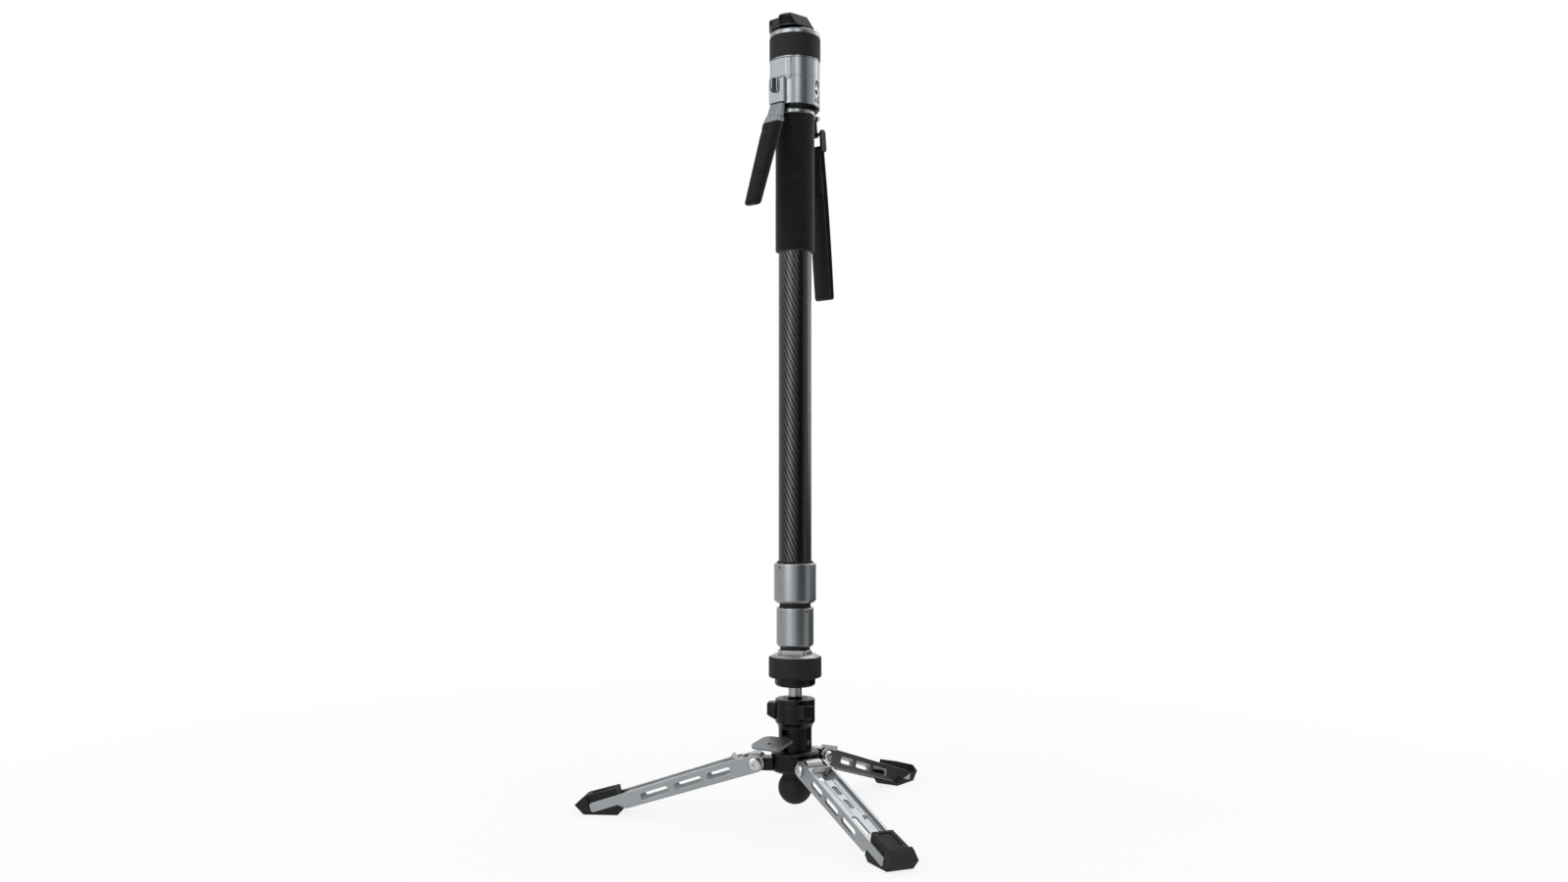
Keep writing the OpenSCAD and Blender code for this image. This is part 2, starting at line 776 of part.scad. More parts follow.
module lower_collar() {
  difference() {
    collar(lower_collar_od, mid_r, low_collar_z);
    collar_screw_hole(lower_collar_od, mid_r, low_collar_z, low_screw_az);
  }
}

module lower_bushing() {
  bushing(mid_r, low_r, low_collar_z);
}

module lower_seal() {
  z1 = low_collar_z + collar_seat - bushing_h;
  color(rubber) sleeve(low_r + 2.4, low_r + run, plug_top + pass, z1);
}

module lower_collar_screw() {
  collar_screw(lower_collar_od, mid_r, low_collar_z, low_screw_az);
}

// Upper stage

module main_tube() {
  color(carbon) sleeve(main_r, main_bore, main_z, head_z);
}

module upper_collar() {
  difference() {
    collar(upper_collar_od, main_r, up_collar_z);
    collar_screw_hole(upper_collar_od, main_r, up_collar_z, up_screw_az);
  }
}

module upper_bushing() {
  bushing(main_r, mid_r, up_collar_z);
}

module upper_seals() {
  z1 = up_collar_z + collar_seat - bushing_h;
  color(rubber) {
    sleeve(mid_r + 1.2, mid_r + run, low_collar_top + pass, z1);
    bevel_ring(main_r + 1.8, main_r + fit, up_collar_top, up_collar_top + lip_h, 0, 0.8);
  }
}

module upper_collar_screw() {
  collar_screw(upper_collar_od, main_r, up_collar_z, up_screw_az);
}

module grip_sleeve() {
  soft = 1.2;
  color(rubber) ring_grip(grip_od / 2, main_r + fit, grip_z, grip_top, soft);
}

module grip_ferrule() {
  ear_half = 7;
  ear_t = 2.2;
  ear_r = 2.6;
  ear_in = main_r + 1.5;
  edge = 0.2;
  color(grey_metal) difference() {
    union() {
      bevel_ring(ferrule_od / 2, main_r + fit, grip_top, ferrule_top, 0.6, 0);
      rotate([0, 0, strap_az]) for (side = [-1, 1])
        translate([0, side * (ear_half - ear_t / 2), 0]) upright(ear_t) {
          translate([ear_in, grip_top + edge]) square([strap_pin_u - ear_in, ferrule_h - 2 * edge]);
          translate([strap_pin_u, strap_pin_z]) circle(r = ear_r);
        }
    }
    rotate([0, 0, strap_az]) translate([strap_pin_u, 0, strap_pin_z])
      cross_rod(strap_pin_d / 2 + fit, 4 * ear_half);
  }
}

module head_flange() {
  color(black_metal) difference() {
    bevel_ring(head_r, main_r + fit, ferrule_top, head_z, 2.6, 0);
    lever_notch();
  }
}

// The clear space for the lever's arm in front of the flange
module lever_notch() {
  notch_u = 20.4;
  rotate([0, 0, lever_az]) translate([notch_u, -head_r, ferrule_top - 1])
    cube([head_r, 2 * head_r, head_flange_h + 1]);
}

// The raised flat face over the lever, drawn in plan
module face_pad(z0, z1) {
  bevel = 4;
  rotate([0, 0, lever_az]) translate([0, 0, z0]) linear_extrude(height = z1 - z0) polygon([
    [0, -face_half - bevel], [face_u - 2.5, -face_half - bevel], [face_u, -face_half],
    [face_u, face_half], [face_u - 2.5, face_half + bevel], [0, face_half + bevel]
  ]);
}

// A block drawn in plan from one distance to another, with its two front corners cut off
module front_outline(back, front, half, cut) {
  polygon([
    [back, -half], [front - cut, -half], [front, cut - half],
    [front, half - cut], [front - cut, half], [back, half]
  ]);
}

// A round length of the head with its flat at the lever's side
module head_barrel(z0, z1) {
  intersection() {
    translate([0, 0, z0]) cylinder(r = head_r, h = z1 - z0);
    rotate([0, 0, lever_az]) translate([face_u - 4 * head_r, -2 * head_r, z0])
      cube([4 * head_r, 4 * head_r, z1 - z0]);
  }
}

module head_body() {
  plug_foot = head_z - head_plug_len;
  cavity_half = lever_hub_half + pass;
  bracket_z = head_z + 0.6;
  bracket_top = seam_z - 1.6;
  color(grey_metal) difference() {
    union() {
      head_barrel(head_z, seam_z);
      face_pad(seam_z - 3.5, seam_z);
      translate([0, 0, plug_foot]) cylinder(r = main_bore - fit, h = head_plug_len + 1);
      rotate([0, 0, lever_az]) intersection() {
        upright(2 * bracket_half) polygon([
          [0, bracket_z], [bracket_u, bracket_z], [bracket_u, bracket_top - 3],
          [bracket_u - 2.2, bracket_top], [0, bracket_top]
        ]);
        linear_extrude(height = seam_z) front_outline(0, bracket_u, bracket_half, 2);
      }
    }
    translate([0, 0, plug_foot - 1]) cylinder(r = rod_d / 2 + run, h = head_plug_len + 4);
    translate([0, 0, head_z + 2.5])
      cylinder(r = rod_cavity_r, h = rod_collar_z + rod_collar_h + squeeze_room - head_z - 2.5);
    rotate([0, 0, lever_az]) {
      translate([lever_pivot_u - lever_hub_r - 0.6, -cavity_half, head_z - 1])
        cube([2 * lever_hub_r + 1.2, 2 * cavity_half, lever_pocket_top - head_z + 1]);
      translate([0, -fork_half - pass, lever_pivot_z - fork_t / 2 - 0.6])
        cube([lever_pivot_u, 2 * (fork_half + pass), fork_t + 0.6 + squeeze_room]);
      translate([lever_pivot_u, 0, lever_pivot_z]) cross_rod(lever_pin_d / 2 + fit, 2 * bracket_half + 2);
      translate([0, 0, knob_z]) {
        radial_rod(knob_d / 2 + pass, bracket_u - 1.5, bracket_u + 5);
        radial_rod(2.2 + run, bracket_u - 8, bracket_u);
      }
    }
    port_cut();
  }
}

// The recess, thread bore and pin slots of the accessory port
module port_cut() {
  pin_pitch = 16;
  rotate([0, 0, port_az]) translate([0, 0, port_z]) {
    translate([port_floor_u, 0, 0]) rotate([90, 0, 90]) linear_extrude(height = 5)
      rotate(90) slot_outline(port_len, port_w);
    translate([port_floor_u - 3, 0, 0]) rotate([90, 0, 90]) linear_extrude(height = 5)
      for (side = [-1, 1]) translate([0, side * pin_pitch / 2]) rotate(90) slot_outline(5.4, 2.6);
    radial_rod(port_insert_od / 2 + fit, port_floor_u - port_insert_len, head_r);
  }
}

module accessory_insert() {
  color(steel) rotate([0, 0, port_az]) translate([0, 0, port_z]) difference() {
    radial_rod(port_insert_od / 2, port_floor_u - port_insert_len, port_floor_u + 0.5);
    radial_rod(port_thread_d / 2, port_floor_u - port_insert_len - 1, head_r);
  }
}

module head_cap() {
  color(grey_metal) {
    head_barrel(seam_z, head_top);
    face_pad(seam_z, head_top - 0.6);
  }
}

// Head lock

module qr_crown() {
  neck_r = qr_neck_od / 2;
  bevel = 2.2;
  color(black_metal) difference() {
    union() {
      translate([0, 0, head_top]) cylinder(r = neck_r, h = crown_z - head_top + 1);
      bevel_ring(crown_half, head_thread_d / 2, crown_z, crown_top, 0.8, bevel);
    }
    for (flat = crown_flats) rotate([0, 0, flat[0]]) translate([flat[1], 0, crown_z])
      rotate([0, -atan2(flat[1] - flat[2], crown_h), 0]) translate([0, flat[3], -crown_h / 3])
        cube([crown_od, flat[4] - flat[3], 2 * crown_h]);
    translate([0, 0, crown_top - head_thread_len]) cylinder(d = head_thread_d, h = head_thread_len + 1);
  }
}

module qr_ring_core() {
  bezel_h = 1;
  wall = qr_ring_od / 2 - 2;
  color(steel) turned([
    [qr_neck_od / 2 + run, qr_ring_z], [qr_ring_od / 2 - 0.4, qr_ring_z],
    [qr_ring_od / 2 - 0.4, qr_ring_z + bezel_h], [wall, qr_ring_z + bezel_h],
    [wall, qr_ring_top], [qr_neck_od / 2 + run, qr_ring_top]
  ]);
}

module qr_ring_grip() {
  color(rubber) ring_grip(qr_ring_od / 2, qr_ring_od / 2 - 2 + fit, qr_ring_z + 1, qr_ring_top, 0.8);
}

module qr_collar() {
  soft = 2.2;
  color(grey_metal) turned(concat(
    [[qr_neck_od / 2 + run, qr_collar_z], [qr_collar_od / 2, qr_collar_z]],
    [for (a = [0:15:90])
      [qr_collar_od / 2 - soft + soft * cos(a), qr_collar_top - soft + soft * sin(a)]],
    [[qr_neck_od / 2 + run, qr_collar_top]]
  ));
}

// Squeeze lever

// The lever's centre line at a height below its pivot
function lever_u(drop) = drop * tan(lever_slope) - 0.4;
sleeve_drop = 25.4;

// The tongue of the arm that the sleeve is pulled over, grown by a clearance
module lever_tang(grow) {
  tang_t = 5;
  tang_half = sleeve_foot_w / 2 - 3;
  tang_len = sleeve_len - 8;
  translate([lever_u(sleeve_drop), 0, -sleeve_drop]) rotate([0, 180 - lever_slope, 0])
    translate([-tang_t / 2 - grow, -tang_half - grow, -1])
      cube([tang_t + 2 * grow, 2 * (tang_half + grow), tang_len + grow]);
}

// A level slice of the lever's arm at a height below the pivot, with its front corners cut off
module arm_slice(drop, half, back, front, cut) {
  slice = 0.4;
  translate([lever_u(drop), 0, -drop]) linear_extrude(height = slice) front_outline(back, front, half, cut);
}

module lever_arm() {
  shoulder = 7;
  flare = 19.2;
  band = 0.6;
  plate_half = bracket_half - 1;
  fork_root = lever_pivot_u - fork_tip_u;
  color(grey_metal) at_lever() difference() {
    union() {
      cross_rod(lever_hub_r, 2 * lever_hub_half);
      translate([-fork_root, -fork_half, -fork_t / 2]) cube([fork_root, 2 * fork_half, fork_t]);
      upright(2 * lever_hub_half) polygon([
        [-0.6, 0], [3.2, 0], [3.6, -shoulder], [-0.2, -shoulder]
      ]);
      hull() {
        arm_slice(shoulder, plate_half, -2, 3.4, 2.4);
        arm_slice(flare, plate_half, -3.6, 4.4, 2.8);
      }
      hull() {
        arm_slice(flare + band, plate_half + 0.6, -3.6, 4.9, 2.8);
        arm_slice(sleeve_drop, sleeve_top_w / 2 - 0.5, -4.5, 5, 2.8);
      }
      translate([lever_u(flare), -plate_half + 1, -flare - 1]) cube([3.4, 2 * plate_half - 2, 2]);
      lever_tang(0);
    }
    cross_rod(lever_pin_d / 2 + run, 4 * bracket_half);
    cross_rod(lever_hub_r + pass, 2 * spring_half);
    translate([-fork_root - 1, -fork_gap, -fork_t])
      cube([fork_gap + rod_d / 2 + 1.5, 2 * fork_gap, 2 * fork_t]);
  }
}

// A level slice of the lever's sleeve, at a height below the pivot
module sleeve_slice(drop, w, t, corner) {
  slice = 0.6;
  translate([lever_u(drop), 0, -drop]) linear_extrude(height = slice)
    offset(r = corner, $fn = 32) square([t - 2 * corner, w - 2 * corner], center = true);
}

module lever_sleeve() {
  corner = 3.2;
  taper = 1;
  tip = 2.5;
  foot_drop = sleeve_drop + sleeve_len * cos(lever_slope);
  color(rubber) at_lever() difference() {
    hull() {
      sleeve_slice(sleeve_drop + 1, sleeve_top_w, sleeve_t, corner);
      sleeve_slice(foot_drop - tip, sleeve_foot_w, sleeve_t - taper, corner);
      sleeve_slice(foot_drop, sleeve_foot_w - 4, sleeve_t - taper - 3, corner - 1);
    }
    lever_tang(fit);
  }
}

module lever_pin() {
  color(steel) at_lever() cross_rod(lever_pin_d / 2, 2 * bracket_half - 0.4);
}

module lever_spring() {
  wire = 0.7;
  turns = 3;
  pitch = 1.2;
  color(steel) at_lever() coil(lever_pin_d / 2 + wire / 2 + 0.2, wire, turns, pitch);
}

module lever_lock_knob() {
  bar_w = 6.4;
  bar_tip = 2.6;
  bar_len = knob_d - 0.6;
  bar_out = 5.8;
  color(grey_metal) rotate([0, 0, lever_az]) translate([0, 0, knob_z]) {
    radial_rod(2.2, bracket_u - 7.5, bracket_u - 1.2);
    radial_rod(knob_d / 2, bracket_u - 1.2, bracket_u + 0.8);
    intersection() {
      translate([bracket_u, 0, -bar_len / 2]) linear_extrude(height = bar_len)
        polygon([[0, -bar_w / 2], [bar_out, -bar_tip / 2], [bar_out, bar_tip / 2], [0, bar_w / 2]]);
      translate([bracket_u - 2, 0, 0]) sphere(r = bar_out + 3.2);
    }
  }
}

module release_rod() {
  foot_z = main_z + 20;
  color(steel) {
    translate([0, 0, foot_z]) cylinder(r = rod_d / 2, h = rod_collar_z + rod_collar_h - foot_z);
    translate([0, 0, rod_collar_z]) cylinder(r = rod_cavity_r - pass, h = rod_collar_h);
  }
}

// Wrist strap

// Places the strap's own frame: the pin at the origin, X away from the column
module at_strap() {
  rotate([0, 0, strap_az]) translate([strap_pin_u, 0, strap_pin_z]) rotate([0, -strap_lean, 0]) children();
}

// The buckle's two bars hang this far below the pin
bar_r = 1.5;
link_bar = 15.5;
web_bar = link_bar + buckle_h - 8;
eye_half = 4.4;

module strap_pin() {
  head_t = 1.8;
  shank = 16.4;
  color(steel) rotate([0, 0, strap_az]) translate([strap_pin_u, 0, strap_pin_z]) {
    cross_rod(strap_pin_d / 2, shank);
    for (side = [-1, 1]) translate([0, side * shank / 2, 0]) cross_rod(strap_pin_d / 2 + 0.6, head_t);
  }
}

module strap_link() {
  eye_r = strap_pin_d / 2 + 1.8;
  foot_r = bar_r + 1.7;
  plate_t = 2.8;
  color(black_metal) at_strap() difference() {
    union() {
      cross_rod(eye_r, 2 * eye_half);
      translate([-plate_t / 2, -eye_half, -link_bar]) cube([plate_t, 2 * eye_half, link_bar]);
      translate([0, 0, -link_bar]) cross_rod(foot_r, 2 * eye_half);
    }
    cross_rod(strap_pin_d / 2 + run, 4 * eye_half);
    translate([0, 0, -link_bar]) cross_rod(bar_r + fit, 4 * eye_half);
  }
}

// The outline of the doubled webbing seen from its edge, round its bar and at the fold
module loop_outline(r) {
  translate([-r, -web_bar - strap_drop]) square([2 * r, strap_drop]);
  for (z = [0, strap_drop]) translate([0, -web_bar - z]) circle(r = r);
}

module strap_webbing() {
  inner = bar_r + 0.1;
  color(rubber) at_strap() upright(web_w) difference() {
    loop_outline(inner + web_t);
    loop_outline(inner);
  }
}

module strap_buckle() {
  cheek_w = 7.6;
  cheek_t = 2.5;
  cheek_y = web_w / 2 + 0.4 + cheek_t / 2;
  color(nylon) at_strap() {
    for (side = [-1, 1]) translate([0, side * cheek_y, -(link_bar + web_bar) / 2]) upright(cheek_t)
      rotate(90) slot_outline(buckle_h, cheek_w);
    for (z = [link_bar, web_bar]) translate([0, 0, -z]) cross_rod(bar_r, 2 * cheek_y);
  }
}

// Legs

// Height of the side plate's lower edge at its notch, from the hinge line
belly = -5.4;

// The side plate seen square on, hinge at the origin
module plate_outline() {
  edge = 1.5;
  circle(r = hinge_end_r);
  polygon([
    [0, hinge_end_r], [12, hinge_end_r], [15, leg_top], [leg_len - edge, leg_top],
    [leg_len, leg_top - edge], [leg_len, heel_h + edge], [leg_len - edge, heel_h],
    [notch_s + 7, heel_h], [notch_s, belly], [0, -hinge_end_r]
  ]);
}

// A window with small round corners, centred
module window_outline(len, w, corner) {
  square([len - 2 * corner, w], center = true);
  square([len, w - 2 * corner], center = true);
  for (x = [-1, 1], y = [-1, 1])
    translate([x * (len / 2 - corner), y * (w / 2 - corner)]) circle(r = corner);
}

// Start and end of the side plate's three windows along the leg
plate_windows = [[25, 48], [54.5, 81.5], [88.5, 116]];
window_h = 6.4;

module leg_channel(n) {
  web_in = 33;
  web_slot = 4.6;
  pair_y = 5.2;
  mid_slots = [52, 76];
  mid_slot_len = 16;
  pair_s = foot_start - 26;
  pair_len = 30;
  groove_y = 4.4;
  groove_w = 0.8;
  groove_t = 0.5;
  groove_end = pair_s - pair_len / 2 - 3;
  color(grey_metal) on_leg(n) {
    for (side = [-1, 1]) translate([0, side * (leg_w - leg_plate_t) / 2, 0]) difference() {
      upright(leg_plate_t) difference() {
        plate_outline();
        for (w = plate_windows) translate([(w[0] + w[1]) / 2, 1.2])
          window_outline(w[1] - w[0], window_h, 2);
      }
      cross_rod(bolt_d / 2 + run, leg_plate_t + 2);
    }
    difference() {
      translate([0, 0, web_h - web_t_leg]) linear_extrude(height = web_t_leg) difference() {
        translate([web_in, -plate_y]) square([foot_start - web_in - pass, 2 * plate_y]);
        for (x = mid_slots) translate([x, 0]) slot_outline(mid_slot_len, web_slot);
        for (side = [-1, 1]) translate([pair_s, side * pair_y]) slot_outline(pair_len, web_slot);
      }
      for (side = [-1, 1])
        translate([web_in - 1, side * groove_y - groove_w / 2, web_h - groove_t])
          cube([groove_end - web_in + 1, groove_w, 1]);
    }
  }
}

// The room that a leg's side plate takes in its foot, open at the top
module plate_pocket() {
  over = 20;
  polygon([
    [notch_s - over, belly - fit], [notch_s, belly - fit], [notch_s + 7, heel_h - fit],
    [leg_len + fit, heel_h - fit], [leg_len + fit, leg_top + over], [notch_s - over, leg_top + over]
  ]);
}

module leg_foot(n) {
  sole_out = sole_in + sole_len;
  panel_h = 15.2;
  toe = [sole_out + 9, 9];
  tip = [sole_out + 1, 16.2];
  brow = [sole_out - 3, 18];
  crest = [sole_in + 2.3, 25.6];
  nape = [sole_in + 0.6, 20];
  heel = [sole_in - 6.9, 7];
  color(rubber) difference() {
    rotate([0, 0, leg_az(n)]) upright(leg_w)
      polygon([[sole_in, 0], [sole_out, 0], toe, tip, brow, crest, nape, heel]);
    on_leg(n) {
      for (side = [-1, 1]) translate([0, side * (leg_w / 2 + 2 - leg_plate_t / 2 - fit), 0])
        upright(leg_plate_t + 4) plate_pocket();
      translate([0, -leg_w, -30]) cube([foot_start, 2 * leg_w, 30 + leg_top + 20]);
      translate([foot_start + 4, 0, panel_h]) linear_extrude(height = 5) translate([11.5, 0])
        window_outline(23, 13, 3);
    }
  }
}

module leg_latch(n) {
  half = knuckle_half + 1;
  ear_t = 1;
  sheet = 1.4;
  tab_z = leg_top - 1.5;
  color(steel) on_leg(n) difference() {
    union() {
      for (side = [-1, 1]) translate([0, side * (half - ear_t / 2 + 0.2), 0]) {
        cross_rod(bolt_d / 2 + 2.2, ear_t);
        upright(ear_t) polygon([
          [-1, -4], [cam_r + 4, 1], [cam_r + 8, web_h], [cam_r + 1, tab_z], [0, 6]
        ]);
      }
      upright(2 * half + 0.4) polygon([
        [cam_r + 1.2, tab_z - sheet], [cam_r + 8, tab_z - sheet], [cam_r + 12, leg_top + 3.4],
        [cam_r + 10.6, leg_top + 4], [cam_r + 7.2, tab_z], [cam_r + 1.2, tab_z]
      ]);
    }
    cross_rod(bolt_d / 2 + run, 4 * half);
  }
}

leg_hub();
base_column();
ball_housing();
ball_cap();
ball_foot();
hinge_bolts();
hinge_cams();
pedal_pin();
pedal_spring();
pedal();
lock_plunger();
ball_cup();
ball_stem();
base_flange();
base_plug();
lower_tube();
lower_clutch();
base_ring_core();
base_ring_grip();
mid_tube();
upper_clutch();
rod_sleeve();
lower_collar();
lower_bushing();
lower_seal();
lower_collar_screw();
main_tube();
upper_collar();
upper_bushing();
upper_seals();
upper_collar_screw();
grip_sleeve();
grip_ferrule();
head_flange();
head_body();
head_cap();
accessory_insert();
qr_crown();
qr_ring_core();
qr_ring_grip();
qr_collar();
lever_arm();
lever_sleeve();
lever_pin();
lever_spring();
lever_lock_knob();
release_rod();
strap_pin();
strap_link();
strap_buckle();
strap_webbing();
leg_channel(1);  // leg_1_channel
leg_foot(1);  // leg_1_foot
leg_latch(1);  // leg_1_latch
leg_channel(2);  // leg_2_channel
leg_foot(2);  // leg_2_foot
leg_latch(2);  // leg_2_latch
leg_channel(3);  // leg_3_channel
leg_foot(3);  // leg_3_foot
leg_latch(3);  // leg_3_latch
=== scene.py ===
"""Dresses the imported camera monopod: finishes, soft pieces, fine detail, studio light and camera.

Sizes are in millimetres, as in the part's source, and MM turns them into Blender's metres.
"""
import json
import math

import bmesh
import bpy
from mathutils import Matrix, Vector, noise


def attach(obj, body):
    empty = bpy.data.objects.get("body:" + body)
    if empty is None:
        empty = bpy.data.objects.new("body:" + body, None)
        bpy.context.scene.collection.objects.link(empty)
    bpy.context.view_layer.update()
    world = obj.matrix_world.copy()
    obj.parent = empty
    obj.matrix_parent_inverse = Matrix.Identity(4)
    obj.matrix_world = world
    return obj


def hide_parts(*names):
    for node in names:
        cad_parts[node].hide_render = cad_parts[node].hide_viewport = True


MM = 0.001
INCH = 25.4
X, Z = 0, 2

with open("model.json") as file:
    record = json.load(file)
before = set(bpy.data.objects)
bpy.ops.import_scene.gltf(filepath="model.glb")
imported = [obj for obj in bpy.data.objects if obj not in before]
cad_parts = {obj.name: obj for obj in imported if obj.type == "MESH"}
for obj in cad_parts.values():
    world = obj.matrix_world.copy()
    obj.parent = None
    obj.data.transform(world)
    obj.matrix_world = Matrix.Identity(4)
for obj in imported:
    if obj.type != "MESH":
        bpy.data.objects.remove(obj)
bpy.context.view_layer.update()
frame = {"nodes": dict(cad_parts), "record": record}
record = frame["record"]
cad = frame["nodes"]
behaviour = record["behaviour"]
body_of = {n: body for body, names in behaviour["bodies"].items() for n in names}
slot_of = {part["node"]: part["material_slot"] for part in record["subparts"]}
joints = {joint["name"]: joint for joint in behaviour["joints"]}
seats = {seat["name"]: seat for seat in record["mounts"]}


def polar(place):
    """A place in metres as a direction in degrees, then its distance from the axis and its height."""
    x, y, z = place
    return math.degrees(math.atan2(y, x)), math.hypot(x, y) / MM, z / MM


def spread(node, axis):
    """The least and the greatest place of a CAD node along an axis."""
    places = [vertex.co[axis] / MM for vertex in cad[node].data.vertices]
    return min(places), max(places)


def between(ends, share):
    """The value that lies a share of the way from one end to the other."""
    return ends[0] + (ends[1] - ends[0]) * share


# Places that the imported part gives, each as a direction, a distance and a height
LEVER_PIVOT = polar(joints["lever_squeeze"]["pos_m"])
STRAP_PIN = polar(joints["strap_swing"]["pos_m"])
LAST_LEG_AZ = polar(joints["leg_3_fold"]["pos_m"])[0]
LEGS = (1, 2, 3)

# Levels and radii on the column
GRIP_Z, GRIP_TOP = spread("grip_sleeve", Z)
GRIP_R = spread("grip_sleeve", X)[1]
TUBE_R = {tube: round(spread(tube, X)[1]) for tube in ("main_tube", "mid_tube", "lower_tube")}
BALL_DOME_Z = 115.6
BOSS_U, BOSS_FLOOR = 23.4, 108.4

# Foam sleeve on the squeeze lever: its slope, its ends below the pivot, its width and thickness there
LEVER_SLOPE = 18.8
SLEEVE_TOP, SLEEVE_FOOT = 25.7, 109.2
SLEEVE_W, SLEEVE_T = (22, 17.5), (10, 9)

# Wrist strap, from its pin down
STRAP_LEAN = 5.9
STRAP_BAR, STRAP_DROP = 30, 146
WEB_W, WEB_T = 20, 1.6
BAR_R, BAR_GAP = 1.5, 0.1
TAIL_END, TUCKED_END = 75, 52

# Threads: how many turns show, threads to the inch, and where the winding starts from the mouth
HEAD_TURNS, HEAD_PER_INCH, HEAD_DEPTH = 8, 16, 13.4
PORT_TURNS, PORT_PER_INCH, PORT_PROUD = 6, 20, 0.3

# Camera, fitted to the photographed view of a 1600 by 900 picture
CAMERA_PLACE = (0.1127, -1.3293, 0.3197)
CAMERA_AIM = (-0.0925, 0.9957)
CAMERA_PITCH = 1.81
CAMERA_LENS = 31.52
SENSOR_WIDTH = 36


class Nodes:
    """A node tree under construction."""

    def __init__(self, tree):
        self.tree = tree

    def node(self, kind, inputs=None, **settings):
        """A new node with its settings made and its inputs linked or set."""
        made = self.tree.nodes.new(kind)
        for key, value in settings.items():
            setattr(made, key, value)
        for key, value in (inputs or {}).items():
            self.set(made.inputs[key], value)
        return made

    def set(self, socket, value):
        """Links a socket to another one, or gives it a plain value."""
        if isinstance(value, bpy.types.NodeSocket):
            self.tree.links.new(value, socket)
        else:
            socket.default_value = value

    def math(self, operation, a, b=0.0):
        return self.node("ShaderNodeMath", {0: a, 1: b}, operation=operation).outputs[0]


class Finish(Nodes):
    """A material under construction: a Principled shader and the nodes that feed it."""

    def __init__(self, name, **constants):
        self.material = bpy.data.materials.new(name)
        self.material.use_nodes = True
        super().__init__(self.material.node_tree)
        self.shader = self.tree.nodes["Principled BSDF"]
        for socket, value in constants.items():
            self.shader.inputs[socket.replace("_", " ")].default_value = value
        self.place = self.node("ShaderNodeTexCoord").outputs["Object"]

    def stretched(self, scale):
        return self.node("ShaderNodeMapping", {"Vector": self.place, "Scale": scale}).outputs[0]

    def noise(self, size_mm, detail=2.0, vector=None):
        """Noise whose blobs are about size_mm across."""
        where = vector or self.place
        inputs = {"Vector": where, "Scale": 1 / (size_mm * MM), "Detail": detail}
        return self.node("ShaderNodeTexNoise", inputs).outputs["Fac"]

    def span(self, value, low, high, start=0.0, end=1.0):
        """Maps value from start..end to low..high."""
        made = self.node("ShaderNodeMapRange", {"Value": value, "From Min": start, "From Max": end,
                                                "To Min": low, "To Max": high})
        return made.outputs["Result"]

    def mix(self, factor, a, b):
        """The colour that lies a share of the way from a to b."""
        made = self.node("ShaderNodeMix", data_type="RGBA")
        for socket, value in zip((made.inputs[0], made.inputs[6], made.inputs[7]), (factor, a, b)):
            self.set(socket, value)
        return made.outputs[2]

    def feed(self, socket, value):
        self.tree.links.new(value, self.shader.inputs[socket])

    def bump(self, height, depth_mm):
        inputs = {"Height": height, "Strength": 1.0, "Distance": depth_mm * MM}
        self.feed("Normal", self.node("ShaderNodeBump", inputs).outputs[0])


def shade(colour, factor):
    """A colour made lighter or darker by a factor."""
    return [min(1.0, c * factor) for c in colour[:3]] + [1.0]


def anodised(name, colour, rough, blast=0.006):
    """Satin anodised aluminium: a bead-blasted grain, faint turning marks and a slightly uneven dye."""
    f = Finish(name, Metallic=1.0)
    dye = f.noise(26, detail=3.0)
    f.feed("Base Color", f.mix(dye, shade(colour, 0.9), shade(colour, 1.08)))
    turning = f.noise(6, detail=2.0, vector=f.stretched((0.3, 0.3, 5)))
    f.feed("Roughness", f.span(turning, rough - 0.03, rough + 0.03))
    f.bump(f.noise(0.32, detail=1.0), blast)
    return f.material


def turned_steel(name, colour, rough):
    """Bright machined steel with the fine rings that a lathe leaves."""
    f = Finish(name, Metallic=1.0)
    rings = f.noise(3.2, detail=4.0, vector=f.stretched((0.4, 0.4, 6)))
    f.feed("Base Color", f.mix(rings, shade(colour, 0.86), shade(colour, 1.06)))
    f.feed("Roughness", f.span(rings, rough - 0.06, rough + 0.08))
    f.bump(rings, 0.006)
    return f.material


def moulded(name, colour, rough, grain_mm, depth_mm):
    """Moulded rubber or nylon: a fine matte grain over slow changes of tone."""
    f = Finish(name, Specular_IOR_Level=0.22)
    tone = f.noise(18, detail=4.0)
    f.feed("Base Color", f.mix(tone, shade(colour, 0.78), shade(colour, 1.25)))
    grain = f.noise(grain_mm, detail=2.0)
    f.feed("Roughness", f.span(grain, rough - 0.08, rough + 0.08))
    f.bump(grain, depth_mm)
    return f.material


def grip_foam(name, colour):
    """Closed-cell grip foam: a fine pale speckle on black, matte, with a dusty sheen at grazing angles."""
    cell, fleck, cloud, pore = 0.8, 0.7, 9, 0.4
    f = Finish(name, Specular_IOR_Level=0.12, Sheen_Weight=0.45, Sheen_Roughness=0.4)
    f.shader.inputs["Sheen Tint"].default_value = (0.55, 0.55, 0.56, 1)
    voronoi = f.node("ShaderNodeTexVoronoi", {"Vector": f.place, "Scale": 1 / (cell * MM)})
    cells = voronoi.outputs["Distance"]
    speckle = f.span(f.noise(fleck, detail=3.0), 0.0, 1.0, 0.42, 0.7)
    tone = f.span(f.noise(cloud, detail=4.0), 0.6, 1.25, 0.3, 0.7)
    pale = f.math("MULTIPLY", speckle, tone)
    f.feed("Base Color", f.mix(pale, shade(colour, 0.5), shade(colour, 4.2)))
    f.feed("Roughness", f.span(cells, 0.78, 0.95))
    f.bump(f.math("ADD", f.span(cells, 1, 0, 0, 0.9), f.noise(pore)), 0.1)
    return f.material


